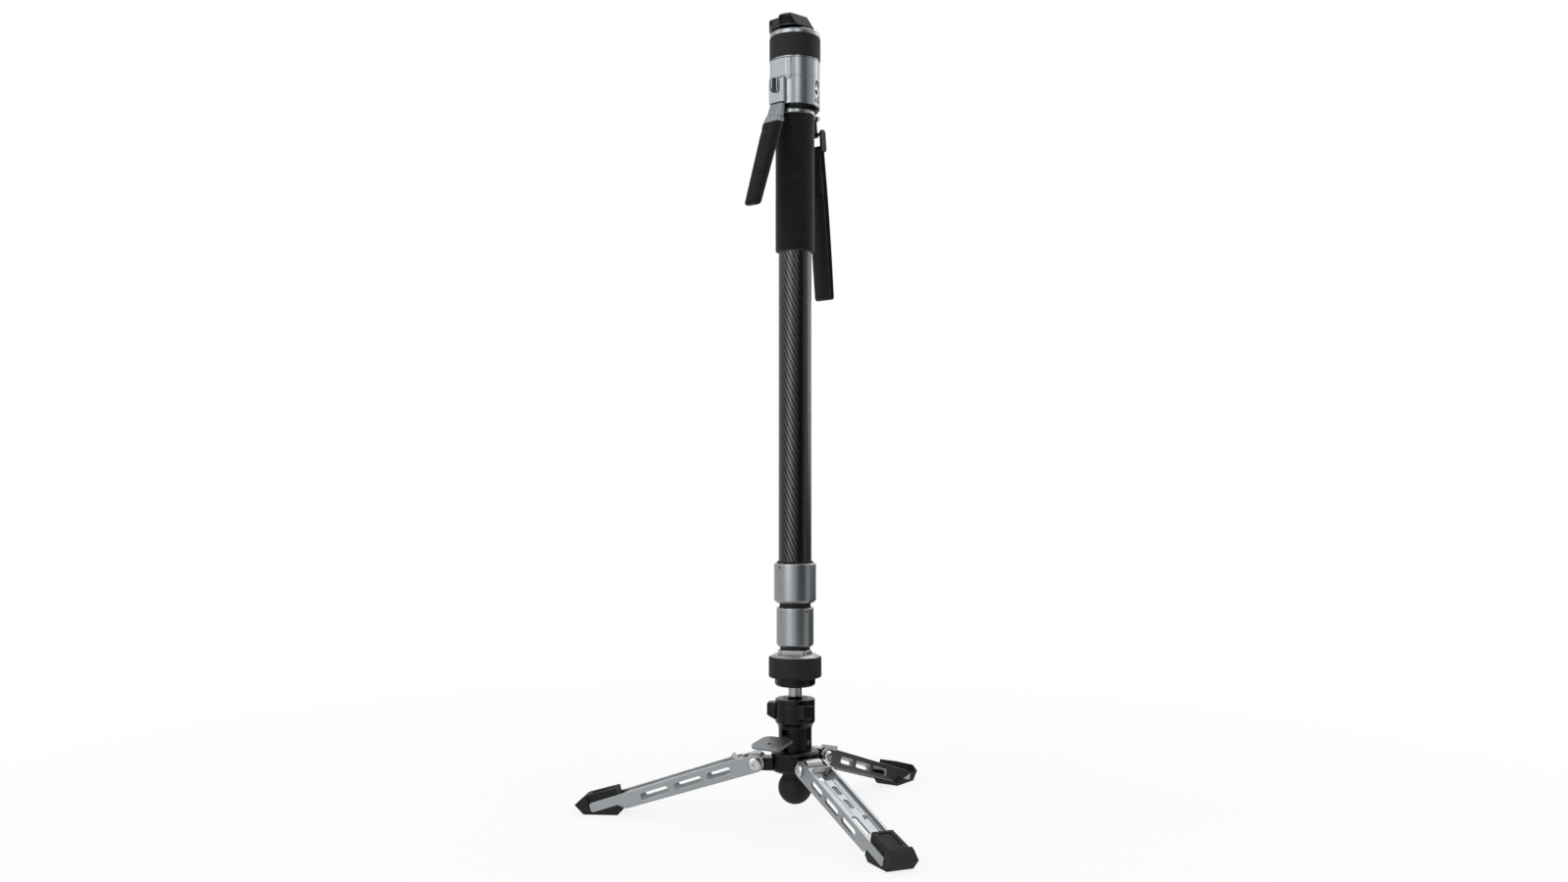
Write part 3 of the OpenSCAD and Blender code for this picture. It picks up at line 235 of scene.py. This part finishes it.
def twill_carbon(name, radius):
    """Two-by-two twill carbon tows round a tube, under a thin clear coat."""
    # A multiple of four columns, so that the twill meets itself round the tube
    around_cells = 4 * round(1.6 * radius)
    tow_len = 2.1
    f = Finish(name, Metallic=1.0, Coat_Weight=0.15, Coat_Roughness=0.2)
    axes = f.node("ShaderNodeSeparateXYZ", {0: f.place})
    turn = f.math("ARCTAN2", axes.outputs[1], axes.outputs[0])
    column = f.math("MULTIPLY", turn, around_cells / math.tau)
    row = f.math("DIVIDE", axes.outputs[2], tow_len * MM)
    step = f.math("ADD", f.math("FLOOR", column), f.math("FLOOR", row))
    over = f.math("LESS_THAN", f.math("FLOORED_MODULO", step, 4.0), 2.0)
    crown_along = f.math("ABSOLUTE", f.math("SUBTRACT", f.math("FRACT", column), 0.5))
    crown_across = f.math("ABSOLUTE", f.math("SUBTRACT", f.math("FRACT", row), 0.5))
    under = f.math("SUBTRACT", 1.0, over)
    dip = f.math("ADD", f.math("MULTIPLY", over, crown_along), f.math("MULTIPLY", under, crown_across))
    strands = f.noise(0.5, detail=3.0, vector=f.stretched((1, 1, 0.08)))
    # The tows that run along the tube are painted lighter than those that run round it: painted sheen for the
    # highlight that fibres running one way catch. The strand noise is the fibres' own tone.
    strands_and_sheen = f.math("ADD", f.math("MULTIPLY", over, 0.75), f.math("MULTIPLY", strands, 0.3))
    f.feed("Base Color", f.mix(strands_and_sheen, (0.004, 0.004, 0.0042, 1), (0.062, 0.063, 0.065, 1)))
    f.feed("Roughness", f.span(over, 0.42, 0.26))
    f.bump(f.span(dip, 1.0, 0.0, 0.0, 0.5), 0.04)
    return f.material


def woven(name, colour):
    """Flat woven webbing: herringbone ribs along the band, on the band's own UV map in metres."""
    rib_pitch, pick_pitch, slant_depth = 1.25, 0.9, 0.28
    f = Finish(name, Specular_IOR_Level=0.25, Sheen_Weight=0.1)
    uv = f.node("ShaderNodeUVMap", uv_map="UVMap").outputs[0]
    axes = f.node("ShaderNodeSeparateXYZ", {0: uv})
    rib = f.math("SINE", f.math("MULTIPLY", axes.outputs[0], math.tau / (rib_pitch * MM)))
    slant = f.math("ADD", axes.outputs[1], f.math("MULTIPLY", rib, slant_depth * MM))
    pick = f.math("SINE", f.math("MULTIPLY", slant, math.tau / (pick_pitch * MM)))
    weave = f.math("ADD", f.math("MULTIPLY", rib, 0.3), f.math("MULTIPLY", pick, 0.2))
    height = f.math("ADD", weave, 0.5)
    # The weave's hollows are painted darker and its crests lighter: painted shade and painted highlight.
    f.feed("Base Color", f.mix(height, shade(colour, 0.45), shade(colour, 1.5)))
    f.feed("Roughness", f.span(height, 0.9, 0.7))
    f.bump(height, 0.12)
    return f.material


def ball_and_stem(name, ball, stem, split_z):
    """A dark ball under a bright stem, split at a height with a narrow blend."""
    blend = 0.15
    f = Finish(name, Metallic=1.0)
    height = f.node("ShaderNodeSeparateXYZ", {0: f.place}).outputs[2]
    upper = f.span(height, 0, 1, (split_z - blend) * MM, (split_z + blend) * MM)
    rings = f.noise(3.0, detail=3.0, vector=f.stretched((0.4, 0.4, 6)))
    bright = f.mix(rings, shade(stem, 0.85), shade(stem, 1.05))
    f.feed("Base Color", f.mix(upper, shade(ball, 1), bright))
    f.feed("Roughness", f.span(rings, 0.26, 0.4))
    return f.material


GREY = (0.235, 0.25, 0.262)
# A lighter copy of GREY: painted light on the legs.
LIT_GREY = (0.285, 0.299, 0.309)
BLACK = (0.0155, 0.016, 0.0168)
STEEL = (0.5, 0.51, 0.52)
finishes = {
    "grey_alloy": anodised("satin_grey_anodising", GREY, 0.36),
    "black_alloy": anodised("satin_black_anodising", BLACK, 0.34),
    # A darker copy of the black anodising for the crown: painted shade.
    "shaded_crown_alloy": anodised("deep_black_anodising", shade(BLACK, 0.4), 0.4),
    "cast_grey": anodised("grey_lacquered_plate", shade(GREY, 0.62), 0.4),
    # A darker copy of the grey anodising for the lock knob: painted shade.
    "shaded_knob_alloy": anodised("dark_knob_anodising", shade(GREY, 0.32), 0.4),
    # A lighter copy of the grey anodising for the legs: painted light.
    "leg_alloy": anodised("brushed_leg_alloy", LIT_GREY, 0.36),
    # Lighter copies of the grey and black anodising for the bevel faces.
    "bright_edge": anodised("machined_edge", shade(LIT_GREY, 1.1), 0.26, blast=0.004),
    "black_edge": anodised("rubbed_black_edge", shade(BLACK, 2.4), 0.3, blast=0.004),
    "steel": turned_steel("turned_steel", STEEL, 0.26),
    "turned_grey": turned_steel("turned_grey", shade(STEEL, 0.6), 0.3),
    "rubber": moulded("matte_rubber", (0.009, 0.009, 0.0094), 0.7, 0.45, 0.03),
    "nylon": moulded("moulded_nylon", (0.012, 0.012, 0.0125), 0.5, 0.35, 0.015),
    "foam": grip_foam("grip_foam", (0.0042, 0.0042, 0.0044)),
    "webbing": woven("woven_webbing", (0.008, 0.008, 0.0083)),
    "thread": moulded("stitching_thread", (0.02, 0.02, 0.021), 0.7, 0.2, 0.01),
    "ball_stem": ball_and_stem("ball_and_stem", shade(BLACK, 1.3), shade(STEEL, 0.62), BALL_DOME_Z),
}

# Nodes whose finish isn't their slot's own
OWN_FINISH = {"base_plug": "turned_grey", "base_ring_core": "turned_grey", "qr_ring_core": "turned_grey",
              "lever_lock_knob": "shaded_knob_alloy", "qr_crown": "shaded_crown_alloy", "hinge_cams": "turned_grey",
              "ball_stem": "ball_stem"}
for leg in LEGS:
    OWN_FINISH[f"leg_{leg}_channel"] = "leg_alloy"
    OWN_FINISH[f"leg_{leg}_latch"] = "turned_grey"
for tube, radius in TUBE_R.items():
    finishes[tube] = twill_carbon(f"twill_carbon_{radius}", radius)
    OWN_FINISH[tube] = tube

for name, node in cad.items():
    node.data.materials.clear()
    node.data.materials.append(finishes[OWN_FINISH.get(name, slot_of[name])])


def new_object(name, data):
    """A new object in the scene, at the origin."""
    obj = bpy.data.objects.new(name, data)
    bpy.context.scene.collection.objects.link(obj)
    return obj


def plain(obj):
    """Turns an object's modifiers into plain mesh."""
    graph = bpy.context.evaluated_depsgraph_get()
    mesh = bpy.data.meshes.new_from_object(obj.evaluated_get(graph))
    obj.modifiers.clear()
    obj.data = mesh
    return obj


def mount(obj, body, slot, *nodes):
    """Lets a finished piece ride on a body and stand for CAD nodes, which it hides; its slot is not used."""
    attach(obj, body)
    if nodes:
        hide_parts(*nodes)


def standing(az, u, z, lean=0.0):
    """The frame at a distance u and height z in a direction: X radial, Z up, leaning outwards below."""
    return (Matrix.Rotation(math.radians(az), 4, "Z") @ Matrix.Translation((u * MM, 0, z * MM))
            @ Matrix.Rotation(math.radians(-lean), 4, "Y"))


def softened(node, width, edge):
    """A copy of a rigid CAD node with its sharp edges broken by a small bevel, in the edge's own finish."""
    weld, flat_turn, sharp_turn = 0.002, 0.5, 28
    bm = bmesh.new()
    bm.from_mesh(cad[node].data)
    bmesh.ops.remove_doubles(bm, verts=bm.verts, dist=weld * MM)
    bmesh.ops.dissolve_limit(bm, angle_limit=math.radians(flat_turn), verts=bm.verts, edges=bm.edges)
    mesh = bpy.data.meshes.new(f"{node}_dressed")
    bm.to_mesh(mesh)
    bm.free()
    own = cad[node].data.materials[0]
    mesh.materials.append(own)
    mesh.materials.append(finishes[edge] if edge else own)
    mesh.shade_smooth()
    obj = new_object(f"{node}_dressed", mesh)
    bevel = obj.modifiers.new("broken_edges", "BEVEL")
    bevel.width = width * MM
    bevel.segments = 2
    bevel.limit_method = "ANGLE"
    bevel.angle_limit = math.radians(sharp_turn)
    bevel.use_clamp_overlap = False
    bevel.material = 1
    obj.modifiers.new("even_light", "WEIGHTED_NORMAL")
    mount(plain(obj), body_of[node], slot_of[node], node)


# Width of the broken edge on each rigid node that shows, by the finish of that edge, or None for its own
BROKEN_EDGES = {
    "black_edge": {"leg_hub": 0.5, "base_column": 0.3, "ball_housing": 0.4, "ball_cap": 0.3,
                   "base_flange": 0.4, "head_flange": 0.3, "qr_crown": 0.5, "strap_link": 0.3},
    "bright_edge": {"pedal": 0.3, "lower_collar": 0.35, "upper_collar": 0.35, "grip_ferrule": 0.3,
                    "head_body": 0.3, "head_cap": 0.3, "qr_collar": 0.2, "lever_arm": 0.35,
                    "lever_lock_knob": 0.4},
    None: {"hinge_bolts": 0.25, "hinge_cams": 0.2, "base_plug": 0.3, "base_ring_core": 0.2,
           "accessory_insert": 0.15, "qr_ring_core": 0.2, "strap_pin": 0.5, "pedal_pin": 0.3,
           "base_ring_grip": 0.2, "qr_ring_grip": 0.2, "strap_buckle": 0.6},
}
for leg in LEGS:
    BROKEN_EDGES["bright_edge"][f"leg_{leg}_channel"] = 0.3
    BROKEN_EDGES[None][f"leg_{leg}_latch"] = 0.2
    BROKEN_EDGES[None][f"leg_{leg}_foot"] = 0.35
for edge, widths in BROKEN_EDGES.items():
    for node, width in widths.items():
        softened(node, width, edge)


def lofted(name, rings, finish, place=Matrix(), ring_uv=None, ends=True):
    """A closed skin over rings of points, capped at its ends or joined last ring to first."""
    bm = bmesh.new()
    uv = bm.loops.layers.uv.new("UVMap")
    verts = [[bm.verts.new(place @ (Vector(p) * MM)) for p in ring] for ring in rings]
    count = len(rings[0])
    last = len(rings) - 1 if ends else len(rings)
    for i in range(last):
        upper = verts[(i + 1) % len(rings)]
        for j in range(count):
            k = (j + 1) % count
            face = bm.faces.new((verts[i][j], verts[i][k], upper[k], upper[j]))
            if ring_uv:
                corners = ((i, j), (i, k), (i + 1, k), (i + 1, j))
                for loop, (row, point) in zip(face.loops, corners):
                    loop[uv].uv = ring_uv(row, point)
    if ends:
        bm.faces.new(reversed(verts[0]))
        bm.faces.new(verts[-1])
    bmesh.ops.recalc_face_normals(bm, faces=bm.faces)
    mesh = bpy.data.meshes.new(name)
    bm.to_mesh(mesh)
    bm.free()
    mesh.materials.append(finish)
    mesh.shade_smooth()
    return new_object(name, mesh)


def foam_grip():
    """The hand grip: a foam sleeve with soft ends whose wall isn't quite even."""
    sides, steps, soft, bore_gap = 128, 44, 1.4, 0.05
    bore = TUBE_R["main_tube"] + bore_gap
    uneven, around, along = 0.1, 1.6, 0.05
    quarter = [math.radians(d) for d in range(0, 91, 15)]
    inner = GRIP_R - soft
    low, high = GRIP_Z + soft, GRIP_TOP - soft
    profile = [(bore, GRIP_Z)]
    profile += [(inner + soft * math.sin(a), low - soft * math.cos(a)) for a in quarter]
    profile += [(GRIP_R, between((low, high), k / steps)) for k in range(1, steps)]
    profile += [(inner + soft * math.cos(a), high + soft * math.sin(a)) for a in quarter]
    profile += [(bore, GRIP_TOP)]
    rings = []
    for r, z in profile:
        depth = uneven if r > bore else 0.0
        ring = []
        for k in range(sides):
            a = math.tau * k / sides
            wave = noise.noise(Vector((math.cos(a) * around, math.sin(a) * around, z * along)))
            ring.append(((r + depth * wave) * math.cos(a), (r + depth * wave) * math.sin(a), z))
        rings.append(ring)
    grip = lofted("foam_grip", rings, finishes["foam"], ends=False)
    mount(grip, body_of["grip_sleeve"], "foam", "grip_sleeve")


def rounded_box(width, thick, corner, per_corner=7):
    """Points round a rectangle with round corners: thickness along X and width along Y."""
    points = []
    for quarter, (sx, sy) in enumerate(((1, 1), (-1, 1), (-1, -1), (1, -1))):
        for k in range(per_corner):
            a = math.radians(90 * quarter + 90 * k / (per_corner - 1))
            points.append((sx * (thick / 2 - corner) + corner * math.cos(a),
                           sy * (width / 2 - corner) + corner * math.sin(a)))
    return points


def lever_foam():
    """The foam sleeve on the squeeze lever: a tapering bar with a soft crown, a crease and a rounded foot."""
    levels, inward, flat_half, crown = 84, 0.4, 0.5, 0.35
    foot_h, foot_inset = 3.2, 1.9
    lip_h, lip_inset = 0.8, 0.4
    crease_drop, crease_half, crease_depth = 7.5, 2.0, 0.55
    uneven, across, along = 0.07, 0.2, 0.09
    rings = []
    for k in range(levels + 1):
        t = k / levels
        drop = between((SLEEVE_TOP, SLEEVE_FOOT), t)
        over = max(0.0, (drop - (SLEEVE_FOOT - foot_h)) / foot_h)
        under = max(0.0, 1 - (drop - SLEEVE_TOP) / lip_h)
        inset = foot_inset * (1 - math.sqrt(max(0.0, 1 - over * over))) + lip_inset * under * under
        width = between(SLEEVE_W, t) - 2 * inset
        thick = between(SLEEVE_T, t) - 2 * inset
        centre = drop * math.tan(math.radians(LEVER_SLOPE)) - inward
        crease = crease_depth * math.exp(-((drop - SLEEVE_TOP - crease_drop) / crease_half) ** 2)
        ring = []
        for x, y in rounded_box(width, thick, thick / 2 - flat_half):
            bow = crown * (1 - (2 * y / width) ** 2) * (1 - over) - crease if x > 0 else 0.0
            wave = uneven * noise.noise(Vector((x * across, y * across, drop * along)))
            ring.append((centre + x + bow + wave, y + wave, -drop))
        rings.append(ring)
    sleeve = lofted("lever_foam", rings, finishes["foam"], standing(*LEVER_PIVOT))
    mount(sleeve, "lever", "foam", "lever_sleeve")


def strap_path():
    """The webbing's middle line as (outwards, up) from the pin: tail, round the bar, down, fold and up."""
    lap_gap, lap_top, tail_step, bar_run, sag = 0.04, 50, 2.0, 3, 1.1
    ease_steps, turn_steps, runs = 8, 14, 40
    mid = BAR_R + BAR_GAP + WEB_T / 2
    lap = mid + WEB_T + lap_gap
    foot = STRAP_BAR + STRAP_DROP
    half_turn = [math.pi * k / turn_steps for k in range(turn_steps + 1)]
    tail_steps = int((TAIL_END - lap_top) / tail_step)
    path = [(-lap, -TAIL_END + tail_step * k) for k in range(tail_steps + 1)]
    rise = (path[-1][1], -STRAP_BAR - bar_run)
    for k in range(1, ease_steps + 1):
        t = k / ease_steps
        ease = t * t * (3 - 2 * t)
        path.append((between((-lap, -mid), ease), between(rise, t)))
    path += [(-mid * math.cos(a), -STRAP_BAR + mid * math.sin(a)) for a in half_turn]
    for k in range(1, runs):
        t = k / runs
        path.append((mid + sag * math.sin(math.pi * t), -STRAP_BAR - STRAP_DROP * t))
    path += [(mid * math.cos(a), -foot - mid * math.sin(a)) for a in half_turn]
    path += [(-mid, between((-foot, -TUCKED_END), k / runs)) for k in range(1, runs + 1)]
    return path


def strap_web():
    """The wrist strap: one length of webbing round its bar, with its tail lapped over and sewn down."""
    path = strap_path()
    half, thick, round_off = WEB_W / 2, WEB_T / 2, 0.3
    section = [(-half + round_off, -thick), (half - round_off, -thick), (half, -thick + round_off),
               (half, thick - round_off), (half - round_off, thick), (-half + round_off, thick),
               (-half, thick - round_off), (-half, -thick + round_off)]
    lengths = [0.0]
    for a, b in zip(path, path[1:]):
        lengths.append(lengths[-1] + math.dist(a, b))
    rings = []
    for i, (x, z) in enumerate(path):
        ahead, behind = path[min(i + 1, len(path) - 1)], path[max(i - 1, 0)]
        along = Vector((ahead[0] - behind[0], ahead[1] - behind[1])).normalized()
        out = Vector((along.y, -along.x))
        rings.append([(x + out.x * t, y, z + out.y * t) for y, t in section])
    web = lofted("wrist_webbing", rings, finishes["webbing"], standing(*STRAP_PIN, STRAP_LEAN),
                 ring_uv=lambda row, point: (section[point][0] * MM, lengths[row] * MM))
    mount(web, "strap", "webbing", "strap_webbing")


class Rule(Nodes):
    """A Geometry Nodes tree under construction, with named inputs for its sizes."""

    def __init__(self, name, **sizes):
        super().__init__(bpy.data.node_groups.new(name, "GeometryNodeTree"))
        self.name, self.values = name, sizes
        self.tree.interface.new_socket("Geometry", in_out="OUTPUT", socket_type="NodeSocketGeometry")
        for label in sizes:
            self.tree.interface.new_socket(label, in_out="INPUT", socket_type="NodeSocketFloat")
        self.size = self.tree.nodes.new("NodeGroupInput").outputs

    def along(self, x=0.0, y=0.0, z=0.0):
        return self.node("ShaderNodeCombineXYZ", {0: x, 1: y, 2: z}).outputs[0]

    def made(self, geometry, finish, place):
        """The tree's result as a plain mesh object, with its place in the mesh."""
        whole = self.node("GeometryNodeRealizeInstances", {0: geometry}).outputs[0]
        painted = self.node("GeometryNodeSetMaterial", {"Geometry": whole, "Material": finish})
        out = self.node("NodeGroupOutput")
        self.tree.links.new(painted.outputs[0], out.inputs[0])
        obj = new_object(self.name, bpy.data.meshes.new(self.name))
        modifier = obj.modifiers.new(self.name, "NODES")
        modifier.node_group = self.tree
        for item in self.tree.interface.items_tree:
            if item.in_out == "INPUT":
                modifier[item.identifier] = self.values[item.name]
        plain(obj)
        obj.data.transform(place)
        return obj


def thread_ridge(name, radius, pitch, turns, finish, place):
    """A thread's ridge wound inside a bore, from a place along that place's own Z."""
    ridge_share = 0.38
    rule = Rule(name, Radius=radius * MM, Pitch=pitch * MM, Turns=float(turns),
                Ridge=ridge_share * pitch * MM)
    ridge, turned = rule.size["Ridge"], rule.size["Turns"]
    middle = rule.math("SUBTRACT", rule.size["Radius"], rule.math("MULTIPLY", ridge, 0.5))
    rise = rule.math("MULTIPLY", rule.size["Pitch"], turned)
    path = rule.node("GeometryNodeCurveSpiral", {"Resolution": 40, "Rotations": turned, "Height": rise,
                                                 "Start Radius": middle, "End Radius": middle})
    level = rule.node("GeometryNodeSetCurveNormal", {"Curve": path.outputs[0]}, mode="Z_UP")
    section = rule.node("GeometryNodeCurvePrimitiveCircle", {"Resolution": 3, "Radius": ridge})
    sweep = {"Curve": level.outputs[0], "Profile Curve": section.outputs[0], "Fill Caps": True}
    wound = rule.node("GeometryNodeCurveToMesh", sweep)
    return rule.made(wound.outputs[0], finish, place)


def threads():
    """The camera thread, wound up to the crown's mouth, and the port's thread, wound in from its mouth."""
    crown, port = seats["head_thread"], seats["accessory_thread"]
    crown_top = crown["pos_m"][2] / MM
    foot = Matrix.Translation((0, 0, (crown_top - HEAD_DEPTH) * MM))
    head_ridge = thread_ridge("head_thread_ridge", crown["dims"]["r_mm"], INCH / HEAD_PER_INCH,
                              HEAD_TURNS, finishes["black_edge"], foot)
    mount(head_ridge, "upper", "black_alloy")
    az, u, z = polar(port["pos_m"])
    mouth = standing(az, u + PORT_PROUD, z) @ Matrix.Rotation(math.radians(-90), 4, "Y")
    port_ridge = thread_ridge("port_thread_ridge", port["dims"]["r_mm"], INCH / PORT_PER_INCH,
                              PORT_TURNS, finishes["steel"], mouth)
    mount(port_ridge, "upper", "steel")


def boss_screws():
    """Three socket screws in the pockets on the ball housing's bosses, which stand over the legs."""
    head_r, head_h, socket_r, key_lift = 2.55, 1.3, 1.25, 0.35
    rule = Rule("boss_screws", Ring=BOSS_U * MM, Head=head_r * MM, Height=head_h * MM,
                Socket=socket_r * MM)
    height = rule.size["Height"]
    head = rule.node("GeometryNodeMeshCylinder",
                     {"Vertices": 32, "Radius": rule.size["Head"], "Depth": height})
    key = rule.node("GeometryNodeMeshCylinder",
                    {"Vertices": 6, "Radius": rule.size["Socket"], "Depth": height})
    lift = rule.along(z=rule.math("MULTIPLY", height, key_lift))
    raised = rule.node("GeometryNodeTransform", {"Geometry": key.outputs[0], "Translation": lift})
    screw = rule.node("GeometryNodeMeshBoolean", {"Mesh 1": head.outputs[0], "Mesh 2": raised.outputs[0]},
                      operation="DIFFERENCE")
    ring = rule.node("GeometryNodeMeshCircle", {"Vertices": 3, "Radius": rule.size["Ring"]})
    placed = rule.node("GeometryNodeInstanceOnPoints",
                       {"Points": ring.outputs[0], "Instance": screw.outputs[0]})
    place = (Matrix.Translation((0, 0, (BOSS_FLOOR + head_h / 2) * MM))
             @ Matrix.Rotation(math.radians(LAST_LEG_AZ), 4, "Z"))
    mount(rule.made(placed.outputs[0], finishes["black_edge"], place), "base", "black_alloy")


def tail_stitches():
    """A sewn box that holds the strap's tail, as single stitches along a closed line."""
    margin, box_h, stitch_pitch, stitch_half, thread_r, proud = 2.5, 17.0, 2.4, 0.95, 0.22, 0.06
    rule = Rule("tail_stitches", Width=(WEB_W - 2 * margin) * MM, Height=box_h * MM,
                Pitch=stitch_pitch * MM, Length=stitch_half * MM, Thick=thread_r * MM)
    box = rule.node("GeometryNodeCurvePrimitiveQuadrilateral",
                    {"Width": rule.size["Width"], "Height": rule.size["Height"]})
    steps = rule.node("GeometryNodeCurveToPoints", {"Curve": box.outputs[0], "Length": rule.size["Pitch"]},
                      mode="LENGTH")
    bead = rule.node("GeometryNodeMeshUVSphere", {"Segments": 8, "Rings": 6, "Radius": 1.0})
    shape = rule.along(rule.size["Thick"], rule.size["Thick"], rule.size["Length"])
    placed = rule.node("GeometryNodeInstanceOnPoints",
                       {"Points": steps.outputs["Points"], "Instance": bead.outputs[0],
                        "Rotation": steps.outputs["Rotation"], "Scale": shape})
    face = BAR_R + BAR_GAP + 2 * WEB_T + proud
    place = (standing(*STRAP_PIN, STRAP_LEAN)
             @ Matrix.Translation((-face * MM, 0, -(TAIL_END + TUCKED_END) / 2 * MM))
             @ Matrix.Rotation(math.radians(90), 4, "Z") @ Matrix.Rotation(math.radians(90), 4, "X"))
    mount(rule.made(placed.outputs[0], finishes["thread"], place), "strap", "webbing")


foam_grip()
lever_foam()
strap_web()
tail_stitches()
boss_screws()
threads()


def any_ray(nodes, *rays):
    """One while the ray is of any of the named kinds."""
    path = nodes.node("ShaderNodeLightPath")
    seen = path.outputs[rays[0]]
    for ray in rays[1:]:
        seen = nodes.math("MAXIMUM", seen, path.outputs[ray])
    return seen


def surround():
    """A white surround that the camera and the metal see in full, and that lights the part more softly."""
    ambient = 0.4
    world = bpy.data.worlds.new("white_surround")
    world.use_nodes = True
    bpy.context.scene.world = world
    nodes = Nodes(world.node_tree)
    seen = any_ray(nodes, "Is Camera Ray", "Is Glossy Ray", "Is Transmission Ray")
    level = nodes.node("ShaderNodeMapRange", {"Value": seen, "To Min": ambient})
    background = world.node_tree.nodes["Background"]
    background.inputs["Color"].default_value = (1, 1, 1, 1)
    nodes.set(background.inputs["Strength"], level.outputs["Result"])


def floor():
    """A pale round floor that keeps the shadow near the part and turns to the surround's white far off."""
    radius, near, far, near_glow = 6.0, 0.25, 1.1, 0.84
    bm = bmesh.new()
    bmesh.ops.create_circle(bm, cap_ends=True, segments=96, radius=radius)
    mesh = bpy.data.meshes.new("floor")
    bm.to_mesh(mesh)
    bm.free()
    material = bpy.data.materials.new("pale_floor")
    material.use_nodes = True
    nodes = Nodes(material.node_tree)
    shader = nodes.tree.nodes["Principled BSDF"]
    shader.inputs["Base Color"].default_value = (0.85, 0.85, 0.85, 1)
    shader.inputs["Roughness"].default_value = 0.9
    coord = nodes.node("ShaderNodeTexCoord")
    reach = nodes.node("ShaderNodeVectorMath", {0: coord.outputs["Object"]}, operation="LENGTH")
    white = nodes.node("ShaderNodeMapRange", {"Value": reach.outputs["Value"], "From Min": near,
                                              "From Max": far, "To Min": near_glow})
    seen = any_ray(nodes, "Is Camera Ray", "Is Glossy Ray")
    share = nodes.math("MULTIPLY", seen, white.outputs["Result"])
    glow = nodes.node("ShaderNodeEmission")
    mixed = nodes.node("ShaderNodeMixShader", {0: share, 1: shader.outputs[0], 2: glow.outputs[0]})
    nodes.set(nodes.tree.nodes["Material Output"].inputs["Surface"], mixed.outputs[0])
    mesh.materials.append(material)
    new_object("floor", mesh)


def aimed(obj, place, target):
    """Puts a lamp or the camera at a place and turns it towards a target."""
    obj.location = place
    obj.rotation_mode = "QUATERNION"
    obj.rotation_quaternion = (Vector(target) - Vector(place)).to_track_quat("-Z", "Y")


def round_camera(angle, distance, height):
    """A place at an angle to the right of the camera as seen from the column, in metres."""
    turn = math.atan2(-CAMERA_AIM[1], -CAMERA_AIM[0]) + math.radians(angle)
    return (distance * math.cos(turn), distance * math.sin(turn), height)


def soft_box(name, angle, distance, height, size, power, target=0.4):
    """A lamp with a broad face, aimed at a height on the column."""
    lamp = bpy.data.lights.new(name, "AREA")
    lamp.shape = "RECTANGLE"
    lamp.size, lamp.size_y = size
    lamp.energy = power
    obj = new_object(name, lamp)
    aimed(obj, round_camera(angle, distance, height), (0, 0, target))
    obj.visible_camera = False


def dark_card(name, angles, near, far):
    """A dark strip round the part for the metal to mirror, from one (distance, height) to another."""
    steps = 16
    bm = bmesh.new()
    rows = []
    for k in range(steps + 1):
        angle = between(angles, k / steps)
        rows.append([bm.verts.new(round_camera(angle, *edge)) for edge in (near, far)])
    for a, b in zip(rows, rows[1:]):
        bm.faces.new((a[0], b[0], b[1], a[1]))
    mesh = bpy.data.meshes.new(name)
    bm.to_mesh(mesh)
    bm.free()
    mesh.materials.append(card_black)
    obj = new_object(name, mesh)
    obj.visible_camera = False
    obj.visible_diffuse = False
    obj.visible_shadow = False


def camera():
    """The camera of the photographed view."""
    data = bpy.data.cameras.new("camera")
    data.lens = CAMERA_LENS
    data.sensor_width = SENSOR_WIDTH
    data.sensor_fit = "HORIZONTAL"
    obj = new_object("camera", data)
    pitch = math.radians(CAMERA_PITCH)
    aim = Vector((CAMERA_AIM[0] * math.cos(pitch), CAMERA_AIM[1] * math.cos(pitch), math.sin(pitch)))
    aimed(obj, CAMERA_PLACE, Vector(CAMERA_PLACE) + aim)
    bpy.context.scene.camera = obj


surround()
floor()
camera()

# Lamps and cards round the part: angles in degrees, places and sizes in metres, power in watts
soft_box("key_left", angle=-38, distance=1.8, height=0.95, size=(1.05, 1.7), power=17, target=0.5)
soft_box("pad_left", angle=-86, distance=1.8, height=1.25, size=(0.6, 0.9), power=3.2, target=0.7)
soft_box("strip_high", angle=9.5, distance=1.8, height=1.3, size=(0.24, 0.9), power=5.5, target=0.71)
soft_box("rim_right", angle=118, distance=1.7, height=0.95, size=(0.7, 1.2), power=7)
soft_box("top_back", angle=165, distance=1.3, height=2.0, size=(1.6, 1.6), power=15, target=0.1)
card_black = moulded("card_black", (0.01, 0.01, 0.01), 0.9, 5, 0.1)
dark_card("card_low", angles=(6, 62), near=(0.6, 0.003), far=(1.95, 0.3))
dark_card("card_middle", angles=(6, 62), near=(1.95, 0.3), far=(1.95, 1.02))
dark_card("card_high_left", angles=(-13, 3), near=(1.95, 0.9), far=(1.95, 1.9))
dark_card("card_high_right", angles=(20, 60), near=(1.95, 1.02), far=(1.95, 1.9))
dark_card("card_floor_right", angles=(85, 150), near=(0.17, 0.003), far=(1.6, 0.3))
bpy.context.scene.view_settings.view_transform = "Standard"
